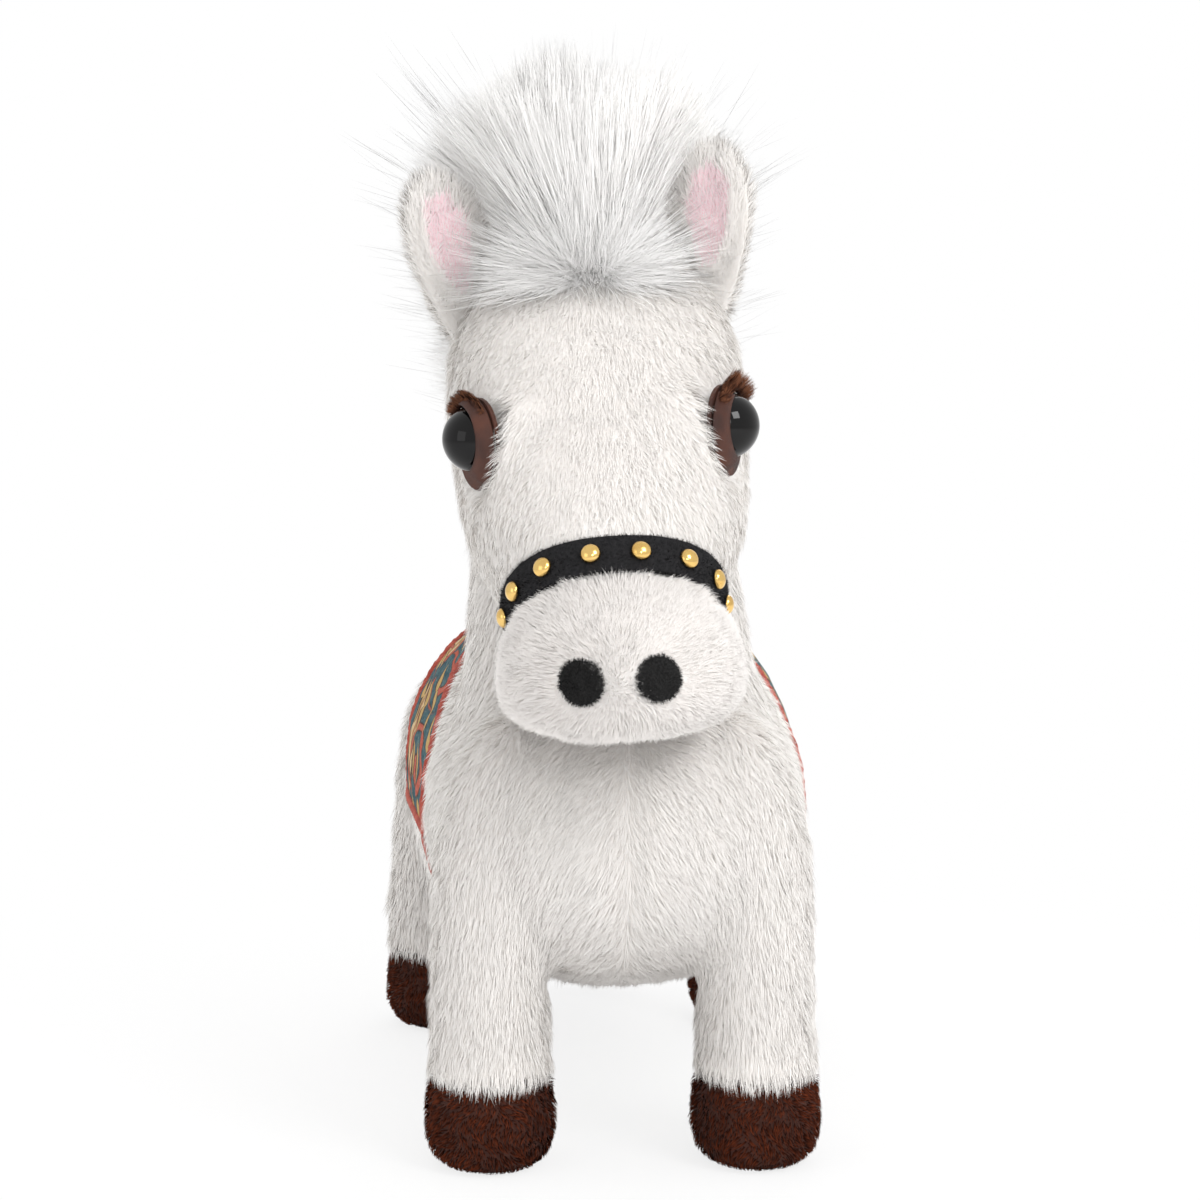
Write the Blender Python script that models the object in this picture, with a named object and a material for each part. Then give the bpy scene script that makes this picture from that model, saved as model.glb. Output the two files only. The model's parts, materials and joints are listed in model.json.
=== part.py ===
"""A plush horse on four hooves, with a long-haired mane, a studded noseband and a saddle blanket.

The horse faces -Y, its left side is at +X and +Z is up. Lengths are in metres.
Each stuffed form is a row of rings: a table of shares gives the rings, and named sizes scale them.
"""

import math

import bmesh
import bpy
import numpy as np
from mathutils import Matrix, Vector
from mathutils.bvhtree import BVHTree

# Clearances and overruns
GAP = 0.0003
OVERRUN = 0.004
SHARP_ANGLE_DEG = 40

# Torso
TORSO_LENGTH = 0.212
TORSO_WIDTH = 0.110
TORSO_DEPTH = 0.098
TORSO_MID_HEIGHT = 0.083
CHEST_REACH = 0.089
TORSO_SIDES = 28
# along, side, rise, half width, above, below
TORSO_SHARES = (
    (0.000, 0, 0.02, 0.00, 0.00, 0.00),
    (0.016, 0, 0.02, 0.44, 0.40, 0.36),
    (0.075, 0, 0.02, 0.74, 0.66, 0.66),
    (0.180, 0, 0.01, 0.85, 0.82, 0.83),
    (0.340, 0, 0.01, 0.90, 0.93, 0.96),
    (0.520, 0, 0.00, 0.95, 0.99, 1.03),
    (0.700, 0, 0.00, 0.99, 1.00, 1.00),
    (0.840, 0, 0.01, 0.93, 0.90, 0.86),
    (0.935, 0, 0.02, 0.73, 0.73, 0.64),
    (0.985, 0, 0.06, 0.44, 0.46, 0.34),
    (1.000, 0, 0.07, 0.00, 0.00, 0.00),
)

# Neck
NECK_LENGTH = 0.128
NECK_WIDTH = 0.071
NECK_DEPTH = 0.080
NECK_BASE_HEIGHT = 0.080
NECK_SET_BACK = 0.030
NECK_SIDES = 24
NECK_SHARES = (
    (0.00, 0, 0.00, 0.00, 0.00, 0.00),
    (0.04, 0, 0.00, 0.82, 0.95, 0.95),
    (0.16, 0, 0.00, 1.16, 1.14, 1.48),
    (0.34, 0, 0.00, 1.05, 0.74, 1.38),
    (0.56, 0, 0.00, 0.96, 0.62, 1.14),
    (0.78, 0, 0.00, 0.90, 0.70, 1.00),
    (0.94, 0, -0.06, 0.58, 0.50, 0.66),
    (1.00, 0, -0.10, 0.00, 0.00, 0.00),
)
POISE_LEAN_DEG = 3.0
POISE_PIVOT_HEIGHT = 0.090

# Head, from the noseband end to the crown
HEAD_LENGTH = 0.1165
HEAD_WIDTH = 0.075
HEAD_DEPTH = 0.060
HEAD_PITCH_DEG = 52
HEAD_REACH = 0.082
HEAD_FRONT_HEIGHT = 0.136
HEAD_SIDES = 28
HEAD_SHARES = (
    (0.00, 0, 0.00, 0.655, 0.96, 0.62),
    (0.10, 0, 0.00, 0.72, 0.98, 0.68),
    (0.26, 0, 0.00, 0.91, 0.98, 0.86),
    (0.42, 0, 0.00, 0.98, 0.96, 1.02),
    (0.60, 0, 0.00, 1.00, 0.94, 1.12),
    (0.76, 0, 0.00, 0.97, 0.90, 1.04),
    (0.89, 0, 0.00, 0.83, 0.77, 0.82),
    (0.97, 0, 0.00, 0.48, 0.46, 0.46),
    (1.00, 0, 0.00, 0.00, 0.00, 0.00),
)

# Muzzle, from its seam at the noseband to the nose
MUZZLE_LENGTH = 0.036
MUZZLE_WIDTH = 0.0565
MUZZLE_DEPTH = 0.052
MUZZLE_SIDES = 28
MUZZLE_SHARES = (
    (0.00, 0, 0.00, 0.97, 1.10, 0.72),
    (0.16, 0, 0.00, 1.00, 1.12, 0.66),
    (0.32, 0, 0.08, 1.02, 1.12, 0.47),
    (0.50, 0, 0.28, 1.02, 1.06, 0.37),
    (0.78, 0, 0.72, 0.88, 0.80, 0.32),
    (0.95, 0, 1.06, 0.52, 0.42, 0.24),
    (1.00, 0, 1.18, 0.00, 0.00, 0.00),
)

# Legs and hooves
FRONT_LEG_SPREAD = 0.0340
FRONT_LEG_REACH = 0.0665
FRONT_LEG_TOP = 0.116
HIND_LEG_SPREAD = 0.0455
HIND_LEG_SET_BACK = 0.0945
HIND_LEG_TOP = 0.112
LEG_WIDTH = 0.0290
LEG_DEPTH = 0.0320
LEG_SIDES = 18
FRONT_LEG_SHARES = (
    (0.00, 0.00, 0.00, 0.98, 0.98, 0.98),
    (0.08, 0.00, 0.00, 1.04, 1.02, 1.04),
    (0.28, 0.00, 0.00, 1.00, 1.00, 1.06),
    (0.50, -0.08, -0.02, 1.06, 1.04, 1.24),
    (0.72, -0.28, -0.06, 1.10, 1.06, 1.44),
    (0.90, -0.50, -0.12, 0.86, 0.80, 1.18),
    (0.98, -0.58, -0.16, 0.42, 0.40, 0.60),
    (1.00, -0.60, -0.16, 0.00, 0.00, 0.00),
)
HIND_LEG_SHARES = (
    (0.00, 0.00, 0.00, 0.98, 0.98, 0.98),
    (0.08, 0.00, 0.00, 1.04, 1.03, 1.03),
    (0.26, 0.00, 0.02, 1.00, 1.04, 1.00),
    (0.46, -0.16, 0.06, 1.04, 1.40, 1.10),
    (0.66, -0.32, 0.10, 1.10, 1.76, 1.16),
    (0.84, -0.50, 0.08, 1.00, 1.62, 0.96),
    (0.96, -0.66, 0.06, 0.56, 0.94, 0.50),
    (1.00, -0.72, 0.06, 0.00, 0.00, 0.00),
)
HOOF_HEIGHT = 0.0225
HOOF_WIDTH = 0.0320
HOOF_DEPTH = 0.0360
HOOF_SIDES = 18
HOOF_SHARES = (
    (0.00, 0, 0.06, 0.56, 0.62, 0.58),
    (0.03, 0, 0.06, 0.70, 0.76, 0.70),
    (0.10, 0, 0.06, 0.83, 0.90, 0.83),
    (0.22, 0, 0.05, 0.93, 0.98, 0.93),
    (0.40, 0, 0.03, 1.00, 1.03, 0.99),
    (0.66, 0, 0.01, 1.00, 1.02, 1.00),
    (1.00, 0, 0.00, 0.93, 0.92, 0.93),
)

# Ears
EAR_LENGTH = 0.0375
EAR_WIDTH = 0.0205
EAR_THICKNESS = 0.0046
EAR_CUP = 0.0030
EAR_REACH = 0.032
EAR_AIM_RISE = 0.060
EAR_SINK = 0.0010
EAR_TOE_DEG = 18
# side, sign of X, seat from upright, outward lean
EAR_SEATS = (("left", 1, 53, 6), ("right", -1, 58, 14))
EAR_FORE_DEG = 22
EAR_BACK_DEG = 30
EAR_GROOVE_DEPTH = 0.012
EAR_GROOVE_STEPS = 6
EAR_SIDES = 16
EAR_EDGE_POWER = 0.8
EAR_ROOT_SHARE = 0.48
# along, half width, half thickness, slant of the ring
EAR_SHARES = (
    (-0.050, 0.44, 0.34, 1.00),
    (-0.030, 0.46, 0.84, 1.00),
    (0.000, 0.48, 1.00, 1.00),
    (0.120, 0.60, 1.00, 0.80),
    (0.300, 0.86, 1.00, 0.25),
    (0.520, 1.00, 0.96, 0.00),
    (0.720, 0.93, 0.90, 0.00),
    (0.880, 0.68, 0.80, 0.00),
    (0.970, 0.34, 0.56, 0.00),
    (1.000, 0.00, 0.00, 0.00),
)
LINING_THICKNESS = 0.0010
LINING_WIDTH_SHARE = 0.66
LINING_LOW_SHARE = 0.15
LINING_HIGH_SHARE = 0.88
LINING_OUTLINE_SHARES = (0.34, 0.62, 0.86, 1.00, 0.98, 0.84, 0.52)
LINING_COLUMNS = 6

# Hair: forelock, mane and tail
FORELOCK_HEIGHT = 0.046
FORELOCK_WIDTH = 0.068
FORELOCK_DEPTH = 0.020
FORELOCK_REACH = 0.044
FORELOCK_ROOT_RISE = 0.090
FORELOCK_SHARES = (
    (0.00, 0, 0.00, 0.00, 0.00, 0.00),
    (0.08, 0, 0.06, 0.22, 0.50, 0.60),
    (0.30, 0, 0.16, 0.42, 0.90, 0.90),
    (0.56, 0, 0.10, 0.62, 1.00, 1.00),
    (0.80, 0, -0.14, 0.94, 0.90, 1.00),
    (0.95, 0, -0.36, 0.60, 0.50, 0.60),
    (1.00, 0, -0.44, 0.00, 0.00, 0.00),
)
MANE_RISE = 0.062
MANE_DROP = 0.090
MANE_WIDTH = 0.084
MANE_DEPTH = 0.050
MANE_PEAK_RISE = 0.1205
MANE_CENTRE_SET_BACK = 0.004
# path back, path up, half width, out, in
MANE_SHARES = (
    (-0.34, -0.10, 0.00, 0.00, 0.00),
    (-0.30, -0.06, 0.46, 0.46, 0.60),
    (-0.10, 0.00, 0.82, 0.92, 1.10),
    (0.12, -0.06, 1.00, 1.00, 1.25),
    (0.28, -0.28, 0.98, 0.98, 1.35),
    (0.34, -0.60, 0.84, 0.90, 1.25),
    (0.33, -0.94, 0.58, 0.74, 1.00),
    (0.30, -1.22, 0.32, 0.48, 0.80),
    (0.30, -1.34, 0.00, 0.00, 0.00),
)
TAIL_LENGTH = 0.094
TAIL_WIDTH = 0.034
TAIL_DEPTH = 0.019
TAIL_ROOT_HEIGHT = 0.112
TAIL_SHARES = (
    (0.00, 0, 0.00, 0.00, 0.00, 0.00),
    (0.03, 0, 0.10, 0.34, 0.46, 0.20),
    (0.16, 0, 0.66, 0.70, 0.84, 0.70),
    (0.42, 0, 1.10, 0.98, 1.00, 1.00),
    (0.68, 0, 1.00, 1.00, 0.94, 0.94),
    (0.88, 0, 0.74, 0.66, 0.66, 0.66),
    (0.98, 0, 0.58, 0.28, 0.30, 0.30),
    (1.00, 0, 0.56, 0.00, 0.00, 0.00),
)
HAIR_SIDES = 20
DOCK_RADIUS = 0.0045
KNOT_RADIUS = 0.0055
KNOT_RINGS = 8
KNOT_SEAT = 0.008
DOCK_SINK = 0.012
DOCK_SIDES = 16

# Eyes
EYE_DIAMETER = 0.0164
EYE_BULGE = 0.0072
EYE_RIM = 0.0010
EYE_RISE = 0.0505
EYE_TURN_DEG = 64
EYE_AIM_REACH = 0.0565
# side, sign of X, spread of the point that the eye is set from
EYE_SEATS = (("left", 1, 0.0185), ("right", -1, 0.0215))
EYE_SINK = 0.0014
EYE_SEGMENTS = 20
EYE_DOME_STEPS = 5
SHANK_DIAMETER = 0.0042
SHANK_LENGTH = 0.0130
SHANK_RIB = 0.0003
SHANK_RIBS = 3
WASHER_DIAMETER = 0.0120
WASHER_THICKNESS = 0.0016
WASHER_DEPTH = 0.0050
WASHER_SEGMENTS = 18
PATCH_LENGTH = 0.0235
PATCH_WIDTH = 0.0215
PATCH_THICKNESS = 0.0010
PATCH_NOSE_SHIFT = 0.0026
PATCH_DROP = 0.0012
PATCH_CORNERS = 32
PATCH_SQUARE_SHARE = 0.86
LASH_WIDTH = 0.0034
LASH_THICKNESS = 0.0014
LASH_ARC_DEG = 110
LASH_STEPS = 12

# Nostrils
NOSTRIL_DIAMETER = 0.0100
NOSTRIL_PROUD = 0.0010
NOSTRIL_SPREAD = 0.0092
NOSTRIL_SHIFT = -0.0018
NOSTRIL_DROP = 0.0045
NOSTRIL_RINGS = 3
NOSTRIL_SEGMENTS = 20

# Noseband and its studs
BAND_WIDTH = 0.0095
BAND_THICKNESS = 0.0015
BAND_FROM_SEAM = 0.0012
BAND_SEGMENTS = 56
BAND_FINE_STEPS = 720
STUD_COUNT = 14
STUD_DIAMETER = 0.0050
STUD_HEIGHT = 0.0021
STUD_SEGMENTS = 10
STUD_RINGS = 3
STUD_WALL_SHARE = 0.2

# Saddle blanket and its piping
BLANKET_THICKNESS = 0.0016
BLANKET_REAR = 0.076
BLANKET_FRONT_TOP = 0.036
BLANKET_FRONT_SIDE = -0.020
BLANKET_HALF_ARC_DEG = 98
BLANKET_TURN_START_SHARE = 0.36
BLANKET_TURN_END_SHARE = 0.78
BLANKET_CORNER_DEG = 12
BLANKET_CORNER_CUT = 0.014
BLANKET_ROWS = 28
BLANKET_COLUMNS = 7
PIPING_DIAMETER = 0.0026
PIPING_STEPS_SIDE = 5
PIPING_SIDES = 8


def clear_scene():
    for old in list(bpy.data.objects):
        bpy.data.objects.remove(old, do_unlink=True)


def make_material(name, colour, roughness, metallic=0.0):
    made = bpy.data.materials.new(name)
    made.use_nodes = True
    shader = made.node_tree.nodes["Principled BSDF"]
    shader.inputs["Base Color"].default_value = (*colour, 1.0)
    shader.inputs["Roughness"].default_value = roughness
    shader.inputs["Metallic"].default_value = metallic
    made.diffuse_color = (*colour, 1.0)
    return made


def make_empty(name, parent=None, location=(0, 0, 0), rotation=(0, 0, 0)):
    empty = bpy.data.objects.new(name, None)
    bpy.context.collection.objects.link(empty)
    empty.parent = parent
    empty.location = location
    empty.rotation_euler = rotation
    return empty


def place(name, points, faces, skin, parent, location=(0, 0, 0), rotation=(0, 0, 0)):
    """One closed solid, its faces turned outwards and shaded smooth."""
    mesh = bpy.data.meshes.new(name)
    mesh.from_pydata([tuple(map(float, point)) for point in points], [], faces)
    shell = bmesh.new()
    shell.from_mesh(mesh)
    bmesh.ops.recalc_face_normals(shell, faces=shell.faces)
    if shell.calc_volume(signed=True) < 0:
        bmesh.ops.reverse_faces(shell, faces=shell.faces)
    shell.to_mesh(mesh)
    shell.free()
    mesh.shade_smooth()
    mesh.set_sharp_from_angle(angle=math.radians(SHARP_ANGLE_DEG))
    solid = bpy.data.objects.new(name, mesh)
    bpy.context.collection.objects.link(solid)
    solid.parent = parent
    solid.location = location
    solid.rotation_euler = rotation
    if skin:
        mesh.materials.append(skin)
    return solid


def hide(cutter):
    cutter.hide_render = True
    cutter.display_type = "WIRE"
    return cutter


def cut(solid, *cutters):
    for cutter in cutters:
        boolean = solid.modifiers.new(f"cut by {cutter.name}", "BOOLEAN")
        boolean.operation = "DIFFERENCE"
        boolean.object = cutter


def grown(solid, clearance):
    """A hidden copy of a solid, larger by the clearance all over, which cuts its neighbours."""
    mesh = solid.data.copy()
    normals = [vertex.normal.copy() for vertex in mesh.vertices]
    for vertex, normal in zip(mesh.vertices, normals):
        vertex.co += normal * clearance
    copy = bpy.data.objects.new(f"{solid.name}_clearance", mesh)
    bpy.context.collection.objects.link(copy)
    copy.parent = solid.parent
    copy.location = solid.location
    copy.rotation_euler = solid.rotation_euler
    return hide(copy)


def smooth_rows(rows, steps, extents):
    """A curve through rows of shares. An end row with no width is rounded, and another is flat."""
    rows = np.array(rows, float)
    mirrored = np.ones(rows.shape[1])
    mirrored[extents:] = -1

    def beyond(end, inner):
        return inner * mirrored if not end[extents:].any() else 2 * end - inner

    path = np.vstack([beyond(rows[0], rows[1]), rows, beyond(rows[-1], rows[-2])])
    found = []
    for first in range(len(rows) - 1):
        a, b, c, d = path[first : first + 4]
        for t in np.arange(steps) / steps:
            found.append(
                b
                + (c - a) * t / 2
                + (2 * a - 5 * b + 4 * c - d) * t**2 / 2
                + (3 * b - a - 3 * c + d) * t**3 / 2
            )
    found.append(rows[-1])
    return np.array(found)


def signed_power(value, power):
    return math.copysign(abs(value) ** power, value)


def skin_rings(rings, poles):
    """Faces over rings of equal length. An end is closed by its pole's fan, or by one flat face."""
    points = [point for ring in rings for point in ring]
    sides = len(rings[0])
    faces = []
    for start in range(0, (len(rings) - 1) * sides, sides):
        for side in range(sides):
            after = (side + 1) % sides
            faces.append(
                (start + side, start + after, start + sides + after, start + sides + side)
            )
    for start, pole in ((0, poles[0]), (len(points) - sides, poles[1])):
        if pole is None:
            faces.append(tuple(range(start, start + sides)))
            continue
        points.append(pole)
        for side in range(sides):
            faces.append((start + side, start + (side + 1) % sides, len(points) - 1))
    return points, faces


def form(rows, length, width, depth, sides, square=1.0, steps=2, along_path=False, mirror=1):
    """The points and faces of a stuffed form that runs along +Y, with +Z above it.

    With along_path its rings stand square to the path through their centres, and otherwise square to Y.
    """
    table = smooth_rows(rows, steps, 3)
    centres = table[:, :3] * (length, width * mirror / 2, depth / 2)
    across = np.tile((1.0, 0.0), (len(table), 1))
    if along_path:
        across = np.gradient(centres[:, (0, 2)], axis=0)
        across /= np.linalg.norm(across, axis=1)[:, None]
        if table[0][3:].any():
            across[0] = (math.copysign(1, across[0][0]), 0)
    rings = []
    poles = [None, None]
    sign = 1 if across[0][0] > 0 else -1
    for (y, x, z), (forward, up), (wide, above, below) in zip(centres, across, table[:, 3:]):
        if wide == 0:
            poles[1 if rings else 0] = (x, y, z)
            continue
        ring = []
        for side in range(sides):
            turn = 2 * math.pi * side / sides
            out = signed_power(math.cos(turn), square) * wide * width / 2
            lift = signed_power(math.sin(turn), square) * (above if math.sin(turn) > 0 else below)
            lift *= depth / 2 * sign
            ring.append((x + out, y - up * lift, z + forward * lift))
        rings.append(ring)
    return skin_rings(rings, poles)


def closed_loop(rings):
    """The points and faces of a tube whose last ring meets its first."""
    points = [point for ring in rings for point in ring]
    sides = len(rings[0])
    faces = []
    for start in range(0, len(points), sides):
        beyond = (start + sides) % len(points)
        for side in range(sides):
            after = (side + 1) % sides
            faces.append((start + side, start + after, beyond + after, beyond + side))
    return points, faces


def turned(profile, segments):
    """The points and faces of a solid turned about Z, from a profile of radius and height, base first."""
    rings = []
    poles = [None, None]
    for radius, height in profile:
        if radius == 0:
            poles[1 if rings else 0] = (0, 0, height)
            continue
        turns = [2 * math.pi * step / segments for step in range(segments)]
        rings.append([(radius * math.cos(a), radius * math.sin(a), height) for a in turns])
    return skin_rings(rings, poles)


def slab(outline, low, high):
    """The points and faces of a flat plate between two heights."""
    rings = [[(x, y, z) for x, y in outline] for z in (low, high)]
    return skin_rings(rings, (None, None))


def surface_of(*solids):
    """The outer surfaces of uncut solids, in the frame of their shared parent."""
    points = []
    faces = []
    for solid in solids:
        first = len(points)
        own = Matrix.Translation(solid.location) @ solid.rotation_euler.to_matrix().to_4x4()
        points += [own @ vertex.co for vertex in solid.data.vertices]
        faces += [[first + index for index in face.vertices] for face in solid.data.polygons]
    return BVHTree.FromPolygons(points, faces)


def first_hit(surface, target, outwards, distance):
    """Where a line that comes in from outside towards the target first meets the surface."""
    outwards = Vector(outwards).normalized()
    start = Vector(target) + outwards * distance
    place_hit = surface.ray_cast(start, -outwards)[0]
    return place_hit if place_hit is not None else Vector(target)


def overlay(grid, surface, reach, proud, sink, closed=False):
    """A layer that follows a surface. Each place of the grid is a target inside and a direction."""
    outer = []
    inner = []
    for row in grid:
        for target, outwards in row:
            outwards = Vector(outwards).normalized()
            hit = first_hit(surface, target, outwards, reach)
            outer.append(hit + outwards * proud)
            inner.append(hit - outwards * sink)
    rows = len(grid)
    columns = len(grid[0])
    points = outer + inner
    below = len(outer)
    faces = []
    last = rows if closed else rows - 1
    for row in range(last):
        for column in range(columns - 1):
            a = row * columns + column
            b = ((row + 1) % rows) * columns + column
            faces.append((a, a + 1, b + 1, b))
            faces.append((below + a, below + b, below + b + 1, below + a + 1))
        for a in (row * columns, (row + 1) * columns - 1):
            b = (a + columns) % (rows * columns)
            faces.append((a, b, below + b, below + a))
    if not closed:
        for start in (0, (rows - 1) * columns):
            for a in range(start, start + columns - 1):
                faces.append((a, a + 1, below + a + 1, below + a))
    return points, faces


def direction_pose(origin, outwards, upwards=(0, 0, 1)):
    """A frame at origin whose +Z points outwards and whose +Y points upwards."""
    z = Vector(outwards).normalized()
    x = Vector(upwards).cross(z).normalized()
    y = z.cross(x)
    turn = Matrix((x, y, z)).transposed()
    return origin, turn.to_euler()


clear_scene()
WHITE_PLUSH = make_material("white_plush", (0.90, 0.88, 0.86), 0.95)
MUZZLE_PLUSH = make_material("muzzle_plush", (0.91, 0.88, 0.85), 0.95)
LONG_HAIR = make_material("long_hair", (0.92, 0.91, 0.90), 0.80)
PINK_PLUSH = make_material("pink_plush", (0.88, 0.55, 0.60), 0.95)
BROWN_PLUSH = make_material("brown_plush", (0.11, 0.035, 0.018), 0.90)
BROWN_VINYL = make_material("brown_vinyl", (0.10, 0.030, 0.018), 0.45)
BLACK_FELT = make_material("black_felt", (0.010, 0.010, 0.012), 0.95)
BLACK_VELVET = make_material("black_velvet", (0.008, 0.008, 0.010), 0.90)
EYE_GLOSS = make_material("eye_gloss", (0.006, 0.006, 0.007), 0.05)
WASHER_PLASTIC = make_material("washer_plastic", (0.80, 0.80, 0.78), 0.45)
STUD_BRASS = make_material("stud_brass", (0.72, 0.46, 0.16), 0.22, 1.0)
BLANKET_CLOTH = make_material("blanket_cloth", (0.30, 0.28, 0.20), 0.85)
PIPING_CLOTH = make_material("piping_cloth", (0.62, 0.13, 0.09), 0.80)

UPRIGHT = (math.radians(90), 0, 0)
SIDES = (("left", 1), ("right", -1))

horse = make_empty("horse")

# Torso
torso = place(
    "torso",
    *form(TORSO_SHARES, TORSO_LENGTH, TORSO_WIDTH, TORSO_DEPTH, TORSO_SIDES, square=0.92),
    WHITE_PLUSH,
    horse,
    (0, -CHEST_REACH, TORSO_MID_HEIGHT),
)
torso_cutter = grown(torso, GAP)

# Neck, which leans with all that it carries
poise = make_empty(
    "poise", horse, (0, 0, POISE_PIVOT_HEIGHT), (0, math.radians(-POISE_LEAN_DEG), 0)
)
neck = place(
    "neck",
    *form(NECK_SHARES, NECK_LENGTH, NECK_WIDTH, NECK_DEPTH, NECK_SIDES, square=0.95),
    WHITE_PLUSH,
    poise,
    (0, -NECK_SET_BACK, NECK_BASE_HEIGHT - POISE_PIVOT_HEIGHT),
    UPRIGHT,
)
cut(neck, torso_cutter)
neck_cutter = grown(neck, GAP)

# Head: +Y runs from the noseband to the crown, and +Z is the side of the face
head_pose = (math.radians(HEAD_PITCH_DEG), 0, 0)
head_place = (0, -HEAD_REACH, HEAD_FRONT_HEIGHT - POISE_PIVOT_HEIGHT)
head = place(
    "head",
    *form(HEAD_SHARES, HEAD_LENGTH, HEAD_WIDTH, HEAD_DEPTH, HEAD_SIDES, square=0.84),
    WHITE_PLUSH,
    poise,
    head_place,
    head_pose,
)
head_cutter = grown(head, GAP)
cut(neck, head_cutter)
head_frame = Matrix.Translation(head_place) @ Matrix.Rotation(head_pose[0], 4, "X")
head_surface = surface_of(head)

# Muzzle: it runs on from the head's flat end and bends forwards
muzzle_points, muzzle_faces = form(
    MUZZLE_SHARES,
    -MUZZLE_LENGTH,
    MUZZLE_WIDTH,
    MUZZLE_DEPTH,
    MUZZLE_SIDES,
    square=0.90,
    along_path=True,
)
muzzle = place(
    "muzzle",
    muzzle_points,
    muzzle_faces,
    MUZZLE_PLUSH,
    poise,
    head_frame @ Vector((0, -GAP, 0)),
    head_pose,
)
muzzle_surface = surface_of(muzzle)
muzzle_cutter = grown(muzzle, GAP)
cut(neck, muzzle_cutter)

# Legs and hooves
legs = []
for end, spread, reach, top, shares in (
    ("front", FRONT_LEG_SPREAD, -FRONT_LEG_REACH, FRONT_LEG_TOP, FRONT_LEG_SHARES),
    ("hind", HIND_LEG_SPREAD, HIND_LEG_SET_BACK, HIND_LEG_TOP, HIND_LEG_SHARES),
):
    for side, sign in SIDES:
        hoof_shape = form(
            HOOF_SHARES, HOOF_HEIGHT, HOOF_WIDTH, HOOF_DEPTH, HOOF_SIDES, steps=1
        )
        place(
            f"{end}_{side}_hoof",
            *hoof_shape,
            BROWN_PLUSH,
            horse,
            (sign * spread, reach, 0),
            UPRIGHT,
        )
        leg_height = top - HOOF_HEIGHT - GAP
        leg = place(
            f"{end}_{side}_leg",
            *form(shares, leg_height, LEG_WIDTH, LEG_DEPTH, LEG_SIDES, mirror=sign),
            WHITE_PLUSH,
            horse,
            (sign * spread, reach, HOOF_HEIGHT + GAP),
            UPRIGHT,
        )
        cut(leg, torso_cutter, neck_cutter)
        legs.append(leg)

# Ears: each stands in a groove of the head and folds about the groove's axis
EAR_REST = EAR_THICKNESS / 2
GROOVE_RADIUS = EAR_REST + GAP


def ear_shape(sign, slope):
    """An ear with its root's axis at the origin, cupped towards -Y. Its inner edge is higher at the root."""
    table = smooth_rows(EAR_SHARES, 2, 1)
    rise = math.tan(slope)
    rings = []
    for along, wide, thick, slant in table[:-1]:
        ring = []
        for step in range(EAR_SIDES):
            turn = 2 * math.pi * step / EAR_SIDES
            across = signed_power(math.cos(turn), EAR_EDGE_POWER)
            x = across * wide * EAR_WIDTH / 2
            cup = EAR_CUP * across**2 * (wide - slant * EAR_ROOT_SHARE)
            y = math.sin(turn) * thick * EAR_REST - cup
            ring.append((x, y, along * EAR_LENGTH - sign * x * rise * slant))
        rings.append(ring)
    tip = (0, 0, EAR_LENGTH)
    return skin_rings(rings, (None, tip))


def lining_grid():
    """Places on the ear's front, each with the direction that it faces."""
    rows = len(LINING_OUTLINE_SHARES)
    heights = np.linspace(LINING_LOW_SHARE, LINING_HIGH_SHARE, rows) * EAR_LENGTH
    grid = []
    for height, share in zip(heights, LINING_OUTLINE_SHARES):
        half = share * LINING_WIDTH_SHARE * EAR_WIDTH / 2
        across = np.linspace(-half, half, LINING_COLUMNS)
        grid.append([((x, 0, height), (0, -1, 0)) for x in across])
    return grid


def groove_outline():
    """The section of an ear's groove: round below and open above, so that the ear folds both ways."""
    back = math.radians(EAR_BACK_DEG)
    fore = math.radians(EAR_FORE_DEG)
    turns = np.linspace(-back, fore - math.pi, EAR_GROOVE_STEPS + 1)
    arc = [(GROOVE_RADIUS * math.cos(turn), GROOVE_RADIUS * math.sin(turn)) for turn in turns]
    rear_top = (
        arc[0][0] + EAR_GROOVE_DEPTH * math.sin(back),
        arc[0][1] + EAR_GROOVE_DEPTH * math.cos(back),
    )
    front_top = (
        arc[-1][0] - EAR_GROOVE_DEPTH * math.sin(fore),
        arc[-1][1] + EAR_GROOVE_DEPTH * math.cos(fore),
    )
    return [rear_top, *arc, front_top]


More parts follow.
